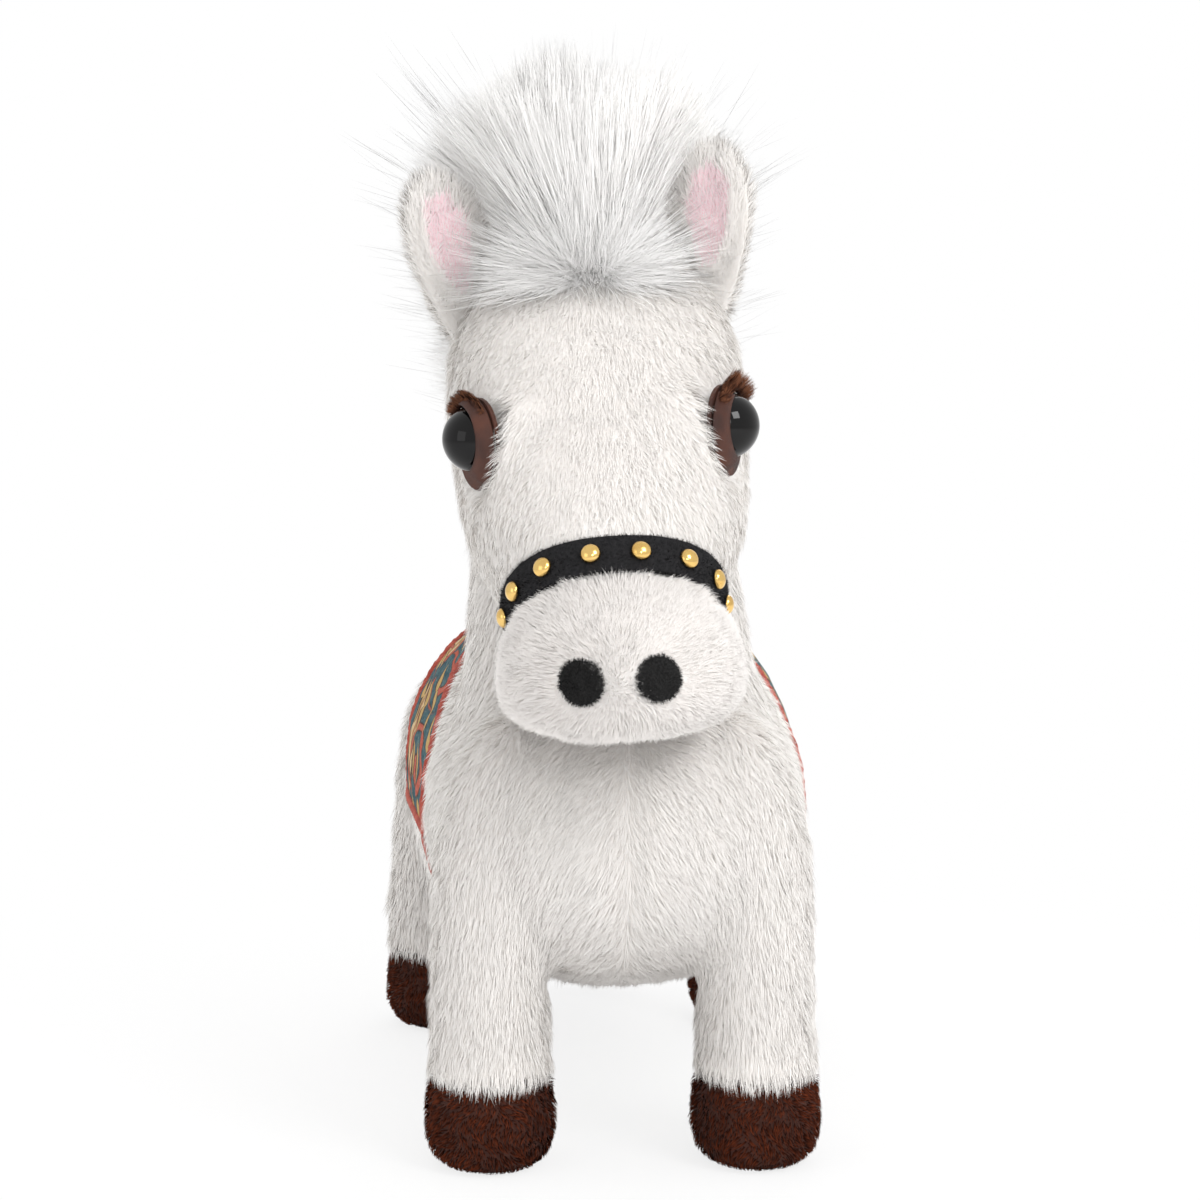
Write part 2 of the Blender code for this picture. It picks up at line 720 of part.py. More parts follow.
for side, sign, seat_deg, splay_deg in EAR_SEATS:
    seat_turn = math.radians(seat_deg)
    outwards = Vector((sign * math.sin(seat_turn), 0, math.cos(seat_turn)))
    downwards = Vector((sign * math.cos(seat_turn), 0, -math.sin(seat_turn))) * EAR_WIDTH / 4
    aim = Vector((0, -EAR_REACH, EAR_AIM_RISE + HEAD_FRONT_HEIGHT - POISE_PIVOT_HEIGHT))
    seat, inner_end, outer_end = (
        first_hit(head_surface, target, outwards, HEAD_LENGTH)
        for target in (aim, aim - downwards, aim + downwards)
    )
    hinge = make_empty(
        f"{side}_ear_hinge",
        poise,
        seat - outwards * EAR_SINK,
        (0, math.radians(sign * splay_deg), math.radians(-sign * EAR_TOE_DEG)),
    )
    root_run = hinge.rotation_euler.to_matrix().inverted() @ (outer_end - inner_end)
    slope = math.atan2(-root_run.z, abs(root_run.x))
    ear = place(f"{side}_ear", *ear_shape(sign, slope), WHITE_PLUSH, hinge)
    raised = Vector((sign * math.sin(slope), 0, math.cos(slope)))
    rearwards = Vector((0, 1, 0))
    groove_turn = Matrix((rearwards, raised, rearwards.cross(raised))).transposed()
    groove = hide(
        place(
            f"{side}_ear_groove",
            *slab(groove_outline(), -EAR_WIDTH / 2, EAR_WIDTH / 2),
            None,
            hinge,
            rotation=groove_turn.to_euler(),
        )
    )
    cut(head, groove)
    ear_surface = surface_of(ear)
    lining = place(
        f"{side}_ear_lining",
        *overlay(lining_grid(), ear_surface, EAR_WIDTH, GAP + LINING_THICKNESS, EAR_REST / 2),
        PINK_PLUSH,
        hinge,
    )
    cut(lining, grown(ear, GAP))

# Forelock
forelock = place(
    "forelock",
    *form(
        FORELOCK_SHARES,
        FORELOCK_HEIGHT,
        FORELOCK_WIDTH,
        FORELOCK_DEPTH,
        HAIR_SIDES,
        along_path=True,
    ),
    LONG_HAIR,
    poise,
    (0, -FORELOCK_REACH, FORELOCK_ROOT_RISE + HEAD_FRONT_HEIGHT - POISE_PIVOT_HEIGHT),
    UPRIGHT,
)
cut(forelock, head_cutter)

# Mane
mane_rows = [
    (back * MANE_RISE, 0, up * MANE_DROP, wide, out, inside)
    for back, up, wide, out, inside in MANE_SHARES
]
mane = place(
    "mane",
    *form(
        [(y, x, 2 * z / MANE_DEPTH, w, a, b) for y, x, z, w, a, b in mane_rows],
        1.0,
        MANE_WIDTH,
        MANE_DEPTH,
        HAIR_SIDES,
        along_path=True,
    ),
    LONG_HAIR,
    poise,
    (0, MANE_CENTRE_SET_BACK, MANE_PEAK_RISE + HEAD_FRONT_HEIGHT - POISE_PIVOT_HEIGHT),
)
cut(mane, head_cutter, neck_cutter, torso_cutter, grown(forelock, GAP))

# Eyes
EYE_RADIUS = EYE_DIAMETER / 2
SHANK_RADIUS = SHANK_DIAMETER / 2


def eye_profile():
    """Shank, flat back, rim and dome, from the shank's end outwards."""
    rib_pitch = (SHANK_LENGTH - EYE_RIM) / (2 * SHANK_RIBS)
    profile = [(0, -SHANK_LENGTH), (SHANK_RADIUS / 2, -SHANK_LENGTH)]
    for step in range(2 * SHANK_RIBS):
        radius = SHANK_RADIUS - (SHANK_RIB if step % 2 else 0)
        profile.append((radius, -SHANK_LENGTH + (step + 1) * rib_pitch))
    profile += [
        (SHANK_RADIUS - SHANK_RIB, 0),
        (EYE_RADIUS - EYE_RIM / 2, 0),
        (EYE_RADIUS, EYE_RIM),
    ]
    for step in range(1, EYE_DOME_STEPS):
        turn = math.pi / 2 * step / EYE_DOME_STEPS
        height = EYE_RIM + (EYE_BULGE - EYE_RIM) * math.sin(turn)
        profile.append(((EYE_RADIUS - EYE_RIM / 2) * math.cos(turn), height))
    profile.append((0, EYE_BULGE))
    return profile


def patch_outline():
    """A rounded almond, in the eye's frame: +X towards the nose and +Y up."""
    outline = []
    for step in range(PATCH_CORNERS):
        turn = 2 * math.pi * step / PATCH_CORNERS
        x = signed_power(math.cos(turn), PATCH_SQUARE_SHARE) * PATCH_WIDTH / 2
        y = signed_power(math.sin(turn), PATCH_SQUARE_SHARE) * PATCH_LENGTH / 2
        outline.append((x + PATCH_NOSE_SHIFT, y - PATCH_DROP))
    return outline


def lash_shape():
    """A fringe that arches over the eye, in the eye's frame."""
    inner_radius = EYE_RADIUS + GAP
    outer_radius = inner_radius + LASH_WIDTH
    half = math.radians(LASH_ARC_DEG) / 2
    inner = []
    outer = []
    for turn in np.linspace(math.pi / 2 - half, math.pi / 2 + half, LASH_STEPS):
        inner.append((inner_radius * math.cos(turn), inner_radius * math.sin(turn)))
        outer.append((outer_radius * math.cos(turn), outer_radius * math.sin(turn)))
    return slab(outer + inner[::-1], GAP, GAP + LASH_THICKNESS)


turn = math.radians(EYE_TURN_DEG)
for side, sign, spread in EYE_SEATS:
    outwards = Vector((sign * math.sin(turn), -math.cos(turn), 0))
    rise = EYE_RISE + HEAD_FRONT_HEIGHT - POISE_PIVOT_HEIGHT
    aim = Vector((sign * spread, -EYE_AIM_REACH, rise))
    surface_place = first_hit(head_surface, aim, outwards, HEAD_LENGTH)
    floor = surface_place - outwards * EYE_SINK
    origin, facing = direction_pose(floor, outwards)
    eye_frame = make_empty(f"{side}_eye_frame", poise, origin, facing)
    to_nose = -sign
    outline = [(to_nose * x, y) for x, y in patch_outline()]
    back = 2 * GAP + PATCH_THICKNESS

    spare = (1 + 2 * GAP / PATCH_WIDTH, 1 + 2 * GAP / PATCH_LENGTH)
    seat_outline = [(x * spare[0], y * spare[1]) for x, y in outline]
    recess = hide(
        place(
            f"{side}_eye_recess", *slab(seat_outline, 0, EYE_SINK + EYE_BULGE), None, eye_frame
        )
    )
    cut(head, recess)
    pocket_radius = WASHER_DIAMETER / 2 + GAP
    bore_radius = SHANK_RADIUS + GAP
    pocket_profile = (
        (0, -SHANK_LENGTH - OVERRUN),
        (pocket_radius, -SHANK_LENGTH - OVERRUN),
        (pocket_radius, -WASHER_DEPTH + GAP),
        (bore_radius, -WASHER_DEPTH + GAP),
        (bore_radius, EYE_SINK),
        (0, EYE_SINK),
    )
    bore = hide(
        place(f"{side}_shank_bore", *turned(pocket_profile, WASHER_SEGMENTS), None, eye_frame)
    )
    cut(head, bore)
    place(
        f"{side}_eye",
        *turned(eye_profile(), EYE_SEGMENTS),
        EYE_GLOSS,
        eye_frame,
        (0, 0, back),
    )
    washer = place(
        f"{side}_eye_washer",
        *turned(
            (
                (WASHER_DIAMETER / 2, -WASHER_DEPTH - WASHER_THICKNESS),
                (WASHER_DIAMETER / 2, -WASHER_DEPTH),
            ),
            WASHER_SEGMENTS,
        ),
        WASHER_PLASTIC,
        eye_frame,
    )
    way_profile = ((bore_radius, -SHANK_LENGTH - OVERRUN), (bore_radius, EYE_SINK + OVERRUN))
    shank_way = hide(
        place(f"{side}_shank_way", *turned(way_profile, WASHER_SEGMENTS), None, eye_frame)
    )
    cut(washer, shank_way)
    patch = place(
        f"{side}_eye_patch", *slab(outline, GAP, GAP + PATCH_THICKNESS), BROWN_VINYL, eye_frame
    )
    cut(patch, shank_way)
    place(f"{side}_lash", *lash_shape(), BROWN_PLUSH, eye_frame, (0, 0, GAP + PATCH_THICKNESS))

# Nostrils
for side, sign in SIDES:
    rise = HEAD_FRONT_HEIGHT - NOSTRIL_DROP - POISE_PIVOT_HEIGHT
    aim = Vector((NOSTRIL_SHIFT + sign * NOSTRIL_SPREAD, -HEAD_REACH, rise))
    grid = []
    for step in range(NOSTRIL_SEGMENTS):
        around = 2 * math.pi * step / NOSTRIL_SEGMENTS
        row = []
        for ring in range(NOSTRIL_RINGS + 1):
            radius = NOSTRIL_DIAMETER / 2 * ring / NOSTRIL_RINGS
            spot = aim + Vector((radius * math.cos(around), 0, radius * math.sin(around)))
            row.append((spot, (0, -1, 0)))
        grid.append(row)
    rings_out = []
    rings_in = []
    for ring in range(NOSTRIL_RINGS, 0, -1):
        hits = [first_hit(muzzle_surface, *row[ring], HEAD_LENGTH) for row in grid]
        rings_out.append([hit + Vector((0, -GAP - NOSTRIL_PROUD, 0)) for hit in hits])
        rings_in.append([hit + Vector((0, NOSTRIL_PROUD, 0)) for hit in hits])
    middle = first_hit(muzzle_surface, aim, (0, -1, 0), HEAD_LENGTH)
    poles = [middle + Vector((0, step, 0)) for step in (NOSTRIL_PROUD, -GAP - NOSTRIL_PROUD)]
    nostril = place(
        f"{side}_nostril", *skin_rings(rings_in[::-1] + rings_out, poles), BLACK_FELT, poise
    )
    cut(nostril, muzzle_cutter)

# Noseband: a loop round the head's front end
band_middle = BAND_FROM_SEAM + BAND_WIDTH / 2
band_grid = []
for step in range(BAND_SEGMENTS):
    around = math.pi / 2 + 2 * math.pi * (step + 0.5) / BAND_SEGMENTS
    outwards = head_frame.to_3x3() @ Vector((math.cos(around), 0, math.sin(around)))
    places = (BAND_FROM_SEAM, band_middle, BAND_FROM_SEAM + BAND_WIDTH)
    band_grid.append([(head_frame @ Vector((0, y, 0)), outwards) for y in places])
band_outside = GAP + BAND_THICKNESS
band = place(
    "noseband",
    *overlay(band_grid, head_surface, HEAD_WIDTH, band_outside, BAND_THICKNESS, closed=True),
    BLACK_VELVET,
    poise,
)
band_surface = surface_of(band)
band_cutter = grown(band, GAP)
cut(band, head_cutter)
cut(neck, band_cutter)


def band_places():
    """Points evenly along the band's middle, half a pitch from the top."""
    edges = []
    for y in (band_middle - STUD_DIAMETER / 2, band_middle, band_middle + STUD_DIAMETER / 2):
        middle = head_frame @ Vector((0, y, 0))
        track = []
        for step in range(BAND_FINE_STEPS + 1):
            around = math.pi / 2 + 2 * math.pi * step / BAND_FINE_STEPS
            outwards = head_frame.to_3x3() @ Vector((math.cos(around), 0, math.sin(around)))
            track.append(first_hit(band_surface, middle, outwards, HEAD_WIDTH))
        edges.append(track)
    track = edges[1]
    run = np.cumsum([0] + [(b - a).length for a, b in zip(track, track[1:])])
    found = []
    for stud in range(STUD_COUNT):
        along = run[-1] * (stud + 0.5) / STUD_COUNT
        index = int(np.searchsorted(run, along))
        before = int(np.searchsorted(run, along - STUD_DIAMETER / 4))
        after = int(np.searchsorted(run, along + STUD_DIAMETER / 4))
        across = edges[2][index] - edges[0][index]
        found.append((track[index], (track[after] - track[before]).cross(across).normalized()))
    return found


stud_profile = [(STUD_DIAMETER / 2, 0)]
for step in range(STUD_RINGS):
    turn = math.pi / 2 * step / STUD_RINGS
    height = STUD_HEIGHT * (STUD_WALL_SHARE + (1 - STUD_WALL_SHARE) * math.sin(turn))
    stud_profile.append((STUD_DIAMETER / 2 * math.cos(turn), height))
stud_profile.append((0, STUD_HEIGHT))
for number, (spot, outwards) in enumerate(band_places(), 1):
    middle = head_frame @ Vector((0, band_middle, 0))
    if outwards.dot(spot - middle) < 0:
        outwards = -outwards
    origin, facing = direction_pose(spot + outwards * GAP, outwards, (0, 1, 0))
    place(
        f"stud_{number:02}",
        *turned(stud_profile, STUD_SEGMENTS),
        STUD_BRASS,
        poise,
        origin,
        facing,
    )

# Tail: a stub is sewn into the rump, and the hair hangs from a knot that turns in the stub's end
torso_surface = surface_of(torso)
rump = first_hit(torso_surface, (0, 0, TAIL_ROOT_HEIGHT), (0, 1, 0), TORSO_LENGTH)
tail_lift = make_empty("tail_lift", horse, rump + Vector((0, KNOT_SEAT, 0)))
tail_swing = make_empty("tail_swing", tail_lift)
DOWNWARDS = (math.radians(-90), 0, 0)
knot_profile = [
    (KNOT_RADIUS * math.sin(turn), -KNOT_RADIUS * math.cos(turn))
    for turn in np.linspace(0, math.pi, KNOT_RINGS + 1)[1:-1]
]
knot_profile = [(0, -KNOT_RADIUS), *knot_profile, (0, KNOT_RADIUS)]
tail_knot = place("tail_knot", *turned(knot_profile, DOCK_SIDES), LONG_HAIR, tail_lift)
tail_dock = place(
    "tail_dock",
    *turned(((DOCK_RADIUS, -DOCK_SINK), (DOCK_RADIUS, KNOT_SEAT)), DOCK_SIDES),
    WHITE_PLUSH,
    horse,
    rump,
    DOWNWARDS,
)
tail_hair = place(
    "tail_hair",
    *form(TAIL_SHARES, TAIL_LENGTH, TAIL_WIDTH, TAIL_DEPTH, HAIR_SIDES, along_path=True),
    LONG_HAIR,
    tail_swing,
    (0, 0, -KNOT_RADIUS - GAP),
    DOWNWARDS,
)
knot_cutter = grown(tail_knot, GAP)
cut(tail_dock, knot_cutter)
cut(torso, grown(tail_dock, GAP))

# Saddle blanket
trunk = [torso, *legs]
trunk_surface = surface_of(*trunk)


def blanket_span(share):
    """Front and rear edge of the blanket at a share of its arc, where 0 is the top and 1 a lower edge."""
    turn_share = (abs(share) - BLANKET_TURN_START_SHARE) / (
        BLANKET_TURN_END_SHARE - BLANKET_TURN_START_SHARE
    )
    turn_share = min(max(turn_share, 0), 1)
    ease = turn_share**2 * (3 - 2 * turn_share)
    front = BLANKET_FRONT_TOP + (BLANKET_FRONT_SIDE - BLANKET_FRONT_TOP) * ease
    corner_share = BLANKET_CORNER_DEG / BLANKET_HALF_ARC_DEG
    past = min(max(abs(share) - (1 - corner_share), 0) / corner_share, 1)
    rear = BLANKET_REAR - BLANKET_CORNER_CUT * (1 - math.sqrt(1 - past**2))
    return front, rear


def trunk_ray(share, y):
    around = math.radians(90 - share * BLANKET_HALF_ARC_DEG)
    return (0, y, TORSO_MID_HEIGHT), (math.cos(around), 0, math.sin(around))


# The rows stand closer together towards the lower edges, where the corners are round
row_shares = [math.sin(turn) for turn in np.linspace(-math.pi / 2, math.pi / 2, BLANKET_ROWS + 1)]
blanket_grid = []
for share in row_shares:
    front, rear = blanket_span(share)
    blanket_grid.append(
        [trunk_ray(share, y) for y in np.linspace(front, rear, BLANKET_COLUMNS + 1)]
    )
blanket = place(
    "saddle_blanket",
    *overlay(
        blanket_grid,
        trunk_surface,
        TORSO_LENGTH,
        GAP + BLANKET_THICKNESS,
        BLANKET_THICKNESS,
    ),
    BLANKET_CLOTH,
    horse,
)
leg_cutters = [grown(leg, GAP) for leg in legs]
cut(blanket, torso_cutter, *leg_cutters, neck_cutter)

# Piping: a cord of cloth round the blanket's edge, at a constant distance from it
piping_radius = PIPING_DIAMETER / 2
arc_length = TORSO_WIDTH / 2 * math.radians(BLANKET_HALF_ARC_DEG)
lower_front, lower_rear = blanket_span(1)
lower_steps = np.linspace(lower_front, lower_rear, PIPING_STEPS_SIDE + 1)[1:-1]
edge = [(share * arc_length, blanket_span(share)[0]) for share in row_shares]
edge += [(arc_length, y) for y in lower_steps]
edge += [(share * arc_length, blanket_span(share)[1]) for share in reversed(row_shares)]
edge += [(-arc_length, y) for y in reversed(lower_steps)]
edge = np.array(edge)
onwards = np.roll(edge, -1, axis=0) - edge
onwards /= np.linalg.norm(onwards, axis=1)[:, None]
after = np.stack([onwards[:, 1], -onwards[:, 0]], axis=1)
before = np.roll(after, 1, axis=0)
mitre = (before + after) / (1 + (before * after).sum(axis=1))[:, None]
route = []
for run, y in edge + mitre * (piping_radius + GAP):
    target, outwards = trunk_ray(run / arc_length, y)
    hit = first_hit(trunk_surface, target, outwards, TORSO_LENGTH)
    route.append((hit + Vector(outwards) * (piping_radius + GAP), Vector(outwards)))
piping_rings = []
for index, (spot, outwards) in enumerate(route):
    forwards = route[(index + 1) % len(route)][0] - route[index - 1][0]
    sideways = outwards.cross(forwards).normalized()
    ring = []
    for step in range(PIPING_SIDES):
        turn = 2 * math.pi * (step + 0.5) / PIPING_SIDES
        ring.append(spot + (sideways * math.cos(turn) + outwards * math.sin(turn)) * piping_radius)
    piping_rings.append(ring)
piping = place("blanket_piping", *closed_loop(piping_rings), PIPING_CLOTH, horse)
cut(piping, torso_cutter)

# Origin: on the floor, under the middle of the whole
bpy.context.view_layer.update()
graph = bpy.context.evaluated_depsgraph_get()
corners = []
for solid in bpy.data.objects:
    if solid.type == "MESH" and not solid.hide_render:
        shown = solid.evaluated_get(graph)
        corners += [shown.matrix_world @ point.co for point in shown.data.vertices]
lows = [min(corner[axis] for corner in corners) for axis in range(3)]
highs = [max(corner[axis] for corner in corners) for axis in range(3)]
horse.location = (-(lows[0] + highs[0]) / 2, -(lows[1] + highs[1]) / 2, -lows[2])
bpy.context.view_layer.update()
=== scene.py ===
# %% [markdown]
# # A plush horse, dressed
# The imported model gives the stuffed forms, the eyes and the trimmings at their real sizes. This lesson
# covers them with what the toy is made of: long pile on the body, velvety pile on the muzzle and the
# hooves, straight hair in the mane, glossy domes for the eyes, and printed cloth on the back.

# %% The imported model
import json
import math

import bmesh
import bpy
import numpy as np
from mathutils import Matrix, Vector
from mathutils.bvhtree import BVHTree
from mathutils.kdtree import KDTree

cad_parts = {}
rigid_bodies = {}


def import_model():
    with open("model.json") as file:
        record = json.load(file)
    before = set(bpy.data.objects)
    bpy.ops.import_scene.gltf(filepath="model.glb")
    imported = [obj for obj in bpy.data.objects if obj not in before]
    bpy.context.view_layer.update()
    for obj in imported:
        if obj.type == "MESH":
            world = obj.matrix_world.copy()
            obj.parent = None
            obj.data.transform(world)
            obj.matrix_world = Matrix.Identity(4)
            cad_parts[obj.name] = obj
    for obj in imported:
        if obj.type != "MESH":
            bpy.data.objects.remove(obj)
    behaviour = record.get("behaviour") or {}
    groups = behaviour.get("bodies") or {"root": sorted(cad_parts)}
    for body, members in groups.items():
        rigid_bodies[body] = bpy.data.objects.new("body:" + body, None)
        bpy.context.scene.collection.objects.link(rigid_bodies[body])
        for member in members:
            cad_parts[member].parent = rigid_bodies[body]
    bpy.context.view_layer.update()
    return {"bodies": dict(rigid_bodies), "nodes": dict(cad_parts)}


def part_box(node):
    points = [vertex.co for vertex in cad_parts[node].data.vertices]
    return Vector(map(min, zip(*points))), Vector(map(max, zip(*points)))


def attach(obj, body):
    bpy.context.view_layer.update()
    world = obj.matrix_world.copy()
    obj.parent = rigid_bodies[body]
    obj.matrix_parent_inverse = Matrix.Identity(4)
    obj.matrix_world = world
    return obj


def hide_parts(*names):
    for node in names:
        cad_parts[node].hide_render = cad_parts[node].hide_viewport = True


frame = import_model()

SIDES = ("left", "right")
ENDS = ("front", "hind")
nodes = frame["nodes"]
scene = bpy.context.scene
print("nodes:", len(nodes), "bodies:", sorted(frame["bodies"]))


# %% Objects and arrays
def added(name, data):
    """A new object of the scene."""
    made = bpy.data.objects.new(name, data)
    scene.collection.objects.link(made)
    return made


def mesh_of(name, build):
    """The finished mesh of a bmesh."""
    mesh = bpy.data.meshes.new(name)
    build.to_mesh(mesh)
    build.free()
    return mesh


def read(items, field, width=3, kind=np.float32):
    """One field of a collection as an array with a row for each item."""
    values = np.empty(len(items) * width, kind)
    items.foreach_get(field, values)
    return values.reshape(-1, width)


def store(mesh, name, values, kind="FLOAT"):
    """Stores values on the vertices of a mesh. A single value goes to all of them."""
    made = mesh.attributes.new(name, kind, "POINT")
    shape = (len(mesh.vertices), 3) if kind == "FLOAT_VECTOR" else (len(mesh.vertices),)
    numbers = np.broadcast_to(values, shape).astype(np.int32 if kind == "INT" else np.float32)
    made.data.foreach_set("vector" if kind == "FLOAT_VECTOR" else "value", numbers.ravel())


def mesh_arrays(mesh):
    """Vertices and triangles of a mesh as arrays."""
    mesh.calc_loop_triangles()
    return read(mesh.vertices, "co").astype(float), read(mesh.loop_triangles, "vertices", 3, np.int32)


def surface_tree(mesh):
    points, faces = mesh_arrays(mesh)
    return BVHTree.FromPolygons(points.tolist(), faces.tolist())


def cover(piece, finish):
    piece.data.materials.clear()
    piece.data.materials.append(finish)


def belong(body, slot, *its_pieces):
    """Gives pieces their body. The slot is not used."""
    for piece in its_pieces:
        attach(piece, body)


print("helpers ready")

# %% [markdown]
# ## Camera and light
# The toy was photographed from a little above its nose, from about a metre away. A long lens keeps the
# head and the hooves in proportion. Large soft lamps and an even sky give white pile its gentle shading.
# The sky and the floor look white to the camera through Is Camera Ray, so that needs no extra light.

# %% Camera
LENS_MM = 104.4
TILT_DEG, TURN_DEG = 84.0, -2.8
NEAREST_SEEN = 0.01

for leftover in [o for o in scene.objects if o.name in ("Cube", "Light", "Camera")]:
    bpy.data.objects.remove(leftover)
scene.view_settings.view_transform = "Standard"
camera = added("camera", bpy.data.cameras.new("camera"))
camera.location = (-0.0485, -0.9466, 0.236)
camera.rotation_euler = (math.radians(TILT_DEG), 0, math.radians(TURN_DEG))
camera.data.lens, camera.data.clip_start = LENS_MM, NEAREST_SEEN
scene.camera = camera
print("camera at", tuple(round(value, 3) for value in camera.location))


# %% [markdown]
# ## Writing nodes as sums
# A material or a node tree is easier to read as an expression than as a list of links. `Socket` wraps
# one output and adds a Math node when Python adds or multiplies it. `Tree.node` adds any other node: its
# settings first, because they decide which sockets it has, and then the values and links.

# %% Node helpers
class Socket:
    """One output of a node."""

    def __init__(self, tree, socket):
        self.tree, self.socket = tree, socket

    def __getitem__(self, name):
        found = [s for s in self.socket.node.outputs if s.enabled and s.name == name]
        return Socket(self.tree, found[0])

    def maths(self, operation, *values):
        return self.tree.node("ShaderNodeMath", {"operation": operation}, *values)

    def __add__(self, other):
        return self.maths("ADD", self, other)

    def __sub__(self, other):
        return self.maths("SUBTRACT", self, other)

    def __rsub__(self, other):
        return self.maths("SUBTRACT", other, self)

    def __mul__(self, other):
        return self.maths("MULTIPLY", self, other)

    def __truediv__(self, other):
        return self.maths("DIVIDE", self, other)

    def __pow__(self, other):
        return self.maths("POWER", self, other)

    def __abs__(self):
        return self.maths("ABSOLUTE", self)

    def sine(self):
        return self.maths("SINE", self)

    def smooth(self, low, high, start=0.0, end=1.0):
        settings = {"interpolation_type": "SMOOTHSTEP"}
        return self.tree.node("ShaderNodeMapRange", settings, self, low, high, start, end)

    __radd__ = __add__
    __rmul__ = __mul__


class Tree:
    """Adds nodes to one node tree."""

    def __init__(self, tree):
        self.tree = tree

    def node(self, kind, settings=None, *values, **named):
        made = self.tree.nodes.new(kind)
        for name, value in (settings or {}).items():
            setattr(made, name, value)
        inputs = [socket for socket in made.inputs if socket.enabled]
        pairs = list(zip(inputs, values))
        for name, value in named.items():
            label = name.replace("_", " ")
            pairs.append((next(s for s in inputs if s.name == label), value))
        for socket, value in pairs:
            self.give(socket, value)
        outputs = [socket for socket in made.outputs if socket.enabled]
        return Socket(self, outputs[0]) if outputs else None

    def give(self, socket, value):
        """Links a socket or sets its value. None leaves it as it is."""
        if isinstance(value, Socket):
            self.tree.links.new(value.socket, socket)
        elif value is not None:
            socket.default_value = value

    def vector(self, operation, *values):
        return self.node("ShaderNodeVectorMath", {"operation": operation}, *values)

    def total(self, first, *others):
        for other in others:
            first = self.vector("ADD", first, other)
        return first

    def scaled(self, vector, factor):
        made = self.vector("SCALE", vector)
        self.give(made.socket.node.inputs["Scale"], factor)
        return made

    def mix(self, factor, first, second):
        """A mix of two colours."""
        first, second = (v if isinstance(v, Socket) else (*v, 1) for v in (first, second))
        return self.node("ShaderNodeMix", {"data_type": "RGBA"}, factor, first, second)

    def noise(self, scale, detail=2.0, where=None):
        where = where or self.node("ShaderNodeTexCoord")["Object"]
        return self.node("ShaderNodeTexNoise", None, Vector=where, Scale=scale, Detail=detail)


def empty_tree(owner):
    """The node tree of a material or a world, without its first nodes."""
    owner.use_nodes = True
    owner.node_tree.nodes.clear()
    return Tree(owner.node_tree)


print("node helpers ready")


# %% [markdown]
# A material starts from an empty tree with one Principled shader. Its plain numbers are set on its own
# sockets, and `paint` gets the tree and returns what changes over the surface.

# %% Material helper
def material(name, paint, **values):
    """A material whose paint(tree) returns the sockets for what varies: colour, roughness or height."""
    made = bpy.data.materials.new(name)
    tree = empty_tree(made)
    shader = tree.node("ShaderNodeBsdfPrincipled")
    inputs = shader.socket.node.inputs
    painted = paint(tree)
    height = painted.pop("height", None)
    if height is not None:
        strength, distance = painted.pop("bump")
        painted["Normal"] = tree.node(
            "ShaderNodeBump", None, Strength=strength, Distance=distance, Height=height
        )
    for label, value in {**values, **painted}.items():
        tree.give(inputs[label.replace("_", " ")], value)
    tree.node("ShaderNodeOutputMaterial", None, Surface=shader)
    return made


def mottled(name, scale, low, high, **values):
    """A material between two colours, mixed by fine noise."""
    return material(
        name, lambda tree: {"Base_Color": tree.mix(tree.noise(scale)["Fac"], low, high)}, **values
    )


print("material helper ready")

# %% Lamps, sky and floor
FLOOR_HALF = 6.0
SKY_LIGHT = 0.84
WHITE = (1, 1, 1, 1)

for name, place, aim_height, width, watts in (
    ("key", (0.60, -0.90, 0.95), 0.14, 0.5, 7.1),
    ("fill", (-0.9, -0.75, 0.40), 0.14, 0.6, 0.9),
    ("window", (0.10, -0.95, 0.45), 0.18, 0.16, 0.7),
    ("back", (0.1, 0.9, 0.9), 0.16, 0.8, 4.0),
):
    lamp = bpy.data.lights.new(name, "AREA")
    lamp.shape, lamp.size, lamp.energy = "SQUARE", width, watts
    holder = added(name, lamp)
    holder.location = place
    ahead = Vector((0, 0, aim_height)) - Vector(place)
    holder.rotation_euler = ahead.to_track_quat("-Z", "Y").to_euler()

scene.world = bpy.data.worlds.new("sky")
tree = empty_tree(scene.world)
path = tree.node("ShaderNodeLightPath")
seen = path.maths("MAXIMUM", path["Is Camera Ray"], path["Is Transmission Ray"])
light = tree.node("ShaderNodeBackground", None, WHITE, SKY_LIGHT)
white = tree.node("ShaderNodeBackground", None, WHITE, 1.0)
tree.node("ShaderNodeOutputWorld", None, tree.node("ShaderNodeMixShader", None, seen, light, white))

floor_mesh = bpy.data.meshes.new("floor")
corners = [(x * FLOOR_HALF, y * FLOOR_HALF, 0) for x, y in ((-1, -1), (1, -1), (1, 1), (-1, 1))]
floor_mesh.from_pydata(corners, [], [(0, 1, 2, 3)])
floor = added("floor", floor_mesh)
paper = bpy.data.materials.new("paper")
tree = empty_tree(paper)
matt = tree.node("ShaderNodeBsdfDiffuse", None, (0.94, 0.94, 0.94, 1))
glow = tree.node("ShaderNodeEmission", None, WHITE, 1.0)
away = tree.vector("LENGTH", tree.node("ShaderNodeTexCoord")["Object"])
whiter = tree.node("ShaderNodeLightPath")["Is Camera Ray"] * away.smooth(0.06, 0.32, 0.80, 1.0)
seen_floor = tree.node("ShaderNodeMixShader", None, whiter, matt, glow)
tree.node("ShaderNodeOutputMaterial", None, seen_floor)
cover(floor, paper)

# %% [markdown]
# ## Frames of the head
# The head, the eyes and the noseband stand in a frame that leans three degrees and pitches the face
# forwards. The same few numbers as in the solids give it here, so that fur can be told where the face,
# the band and the eyes are.

# %% Head frame
LEAN = math.radians(-3.0)
FACE_PITCH = math.radians(52)
EYE_TURN = math.radians(64)
BLANKET_REAR = 0.076
DOME_DEPTH = 0.007
NOSEWARDS = {"left": -1, "right": 1}

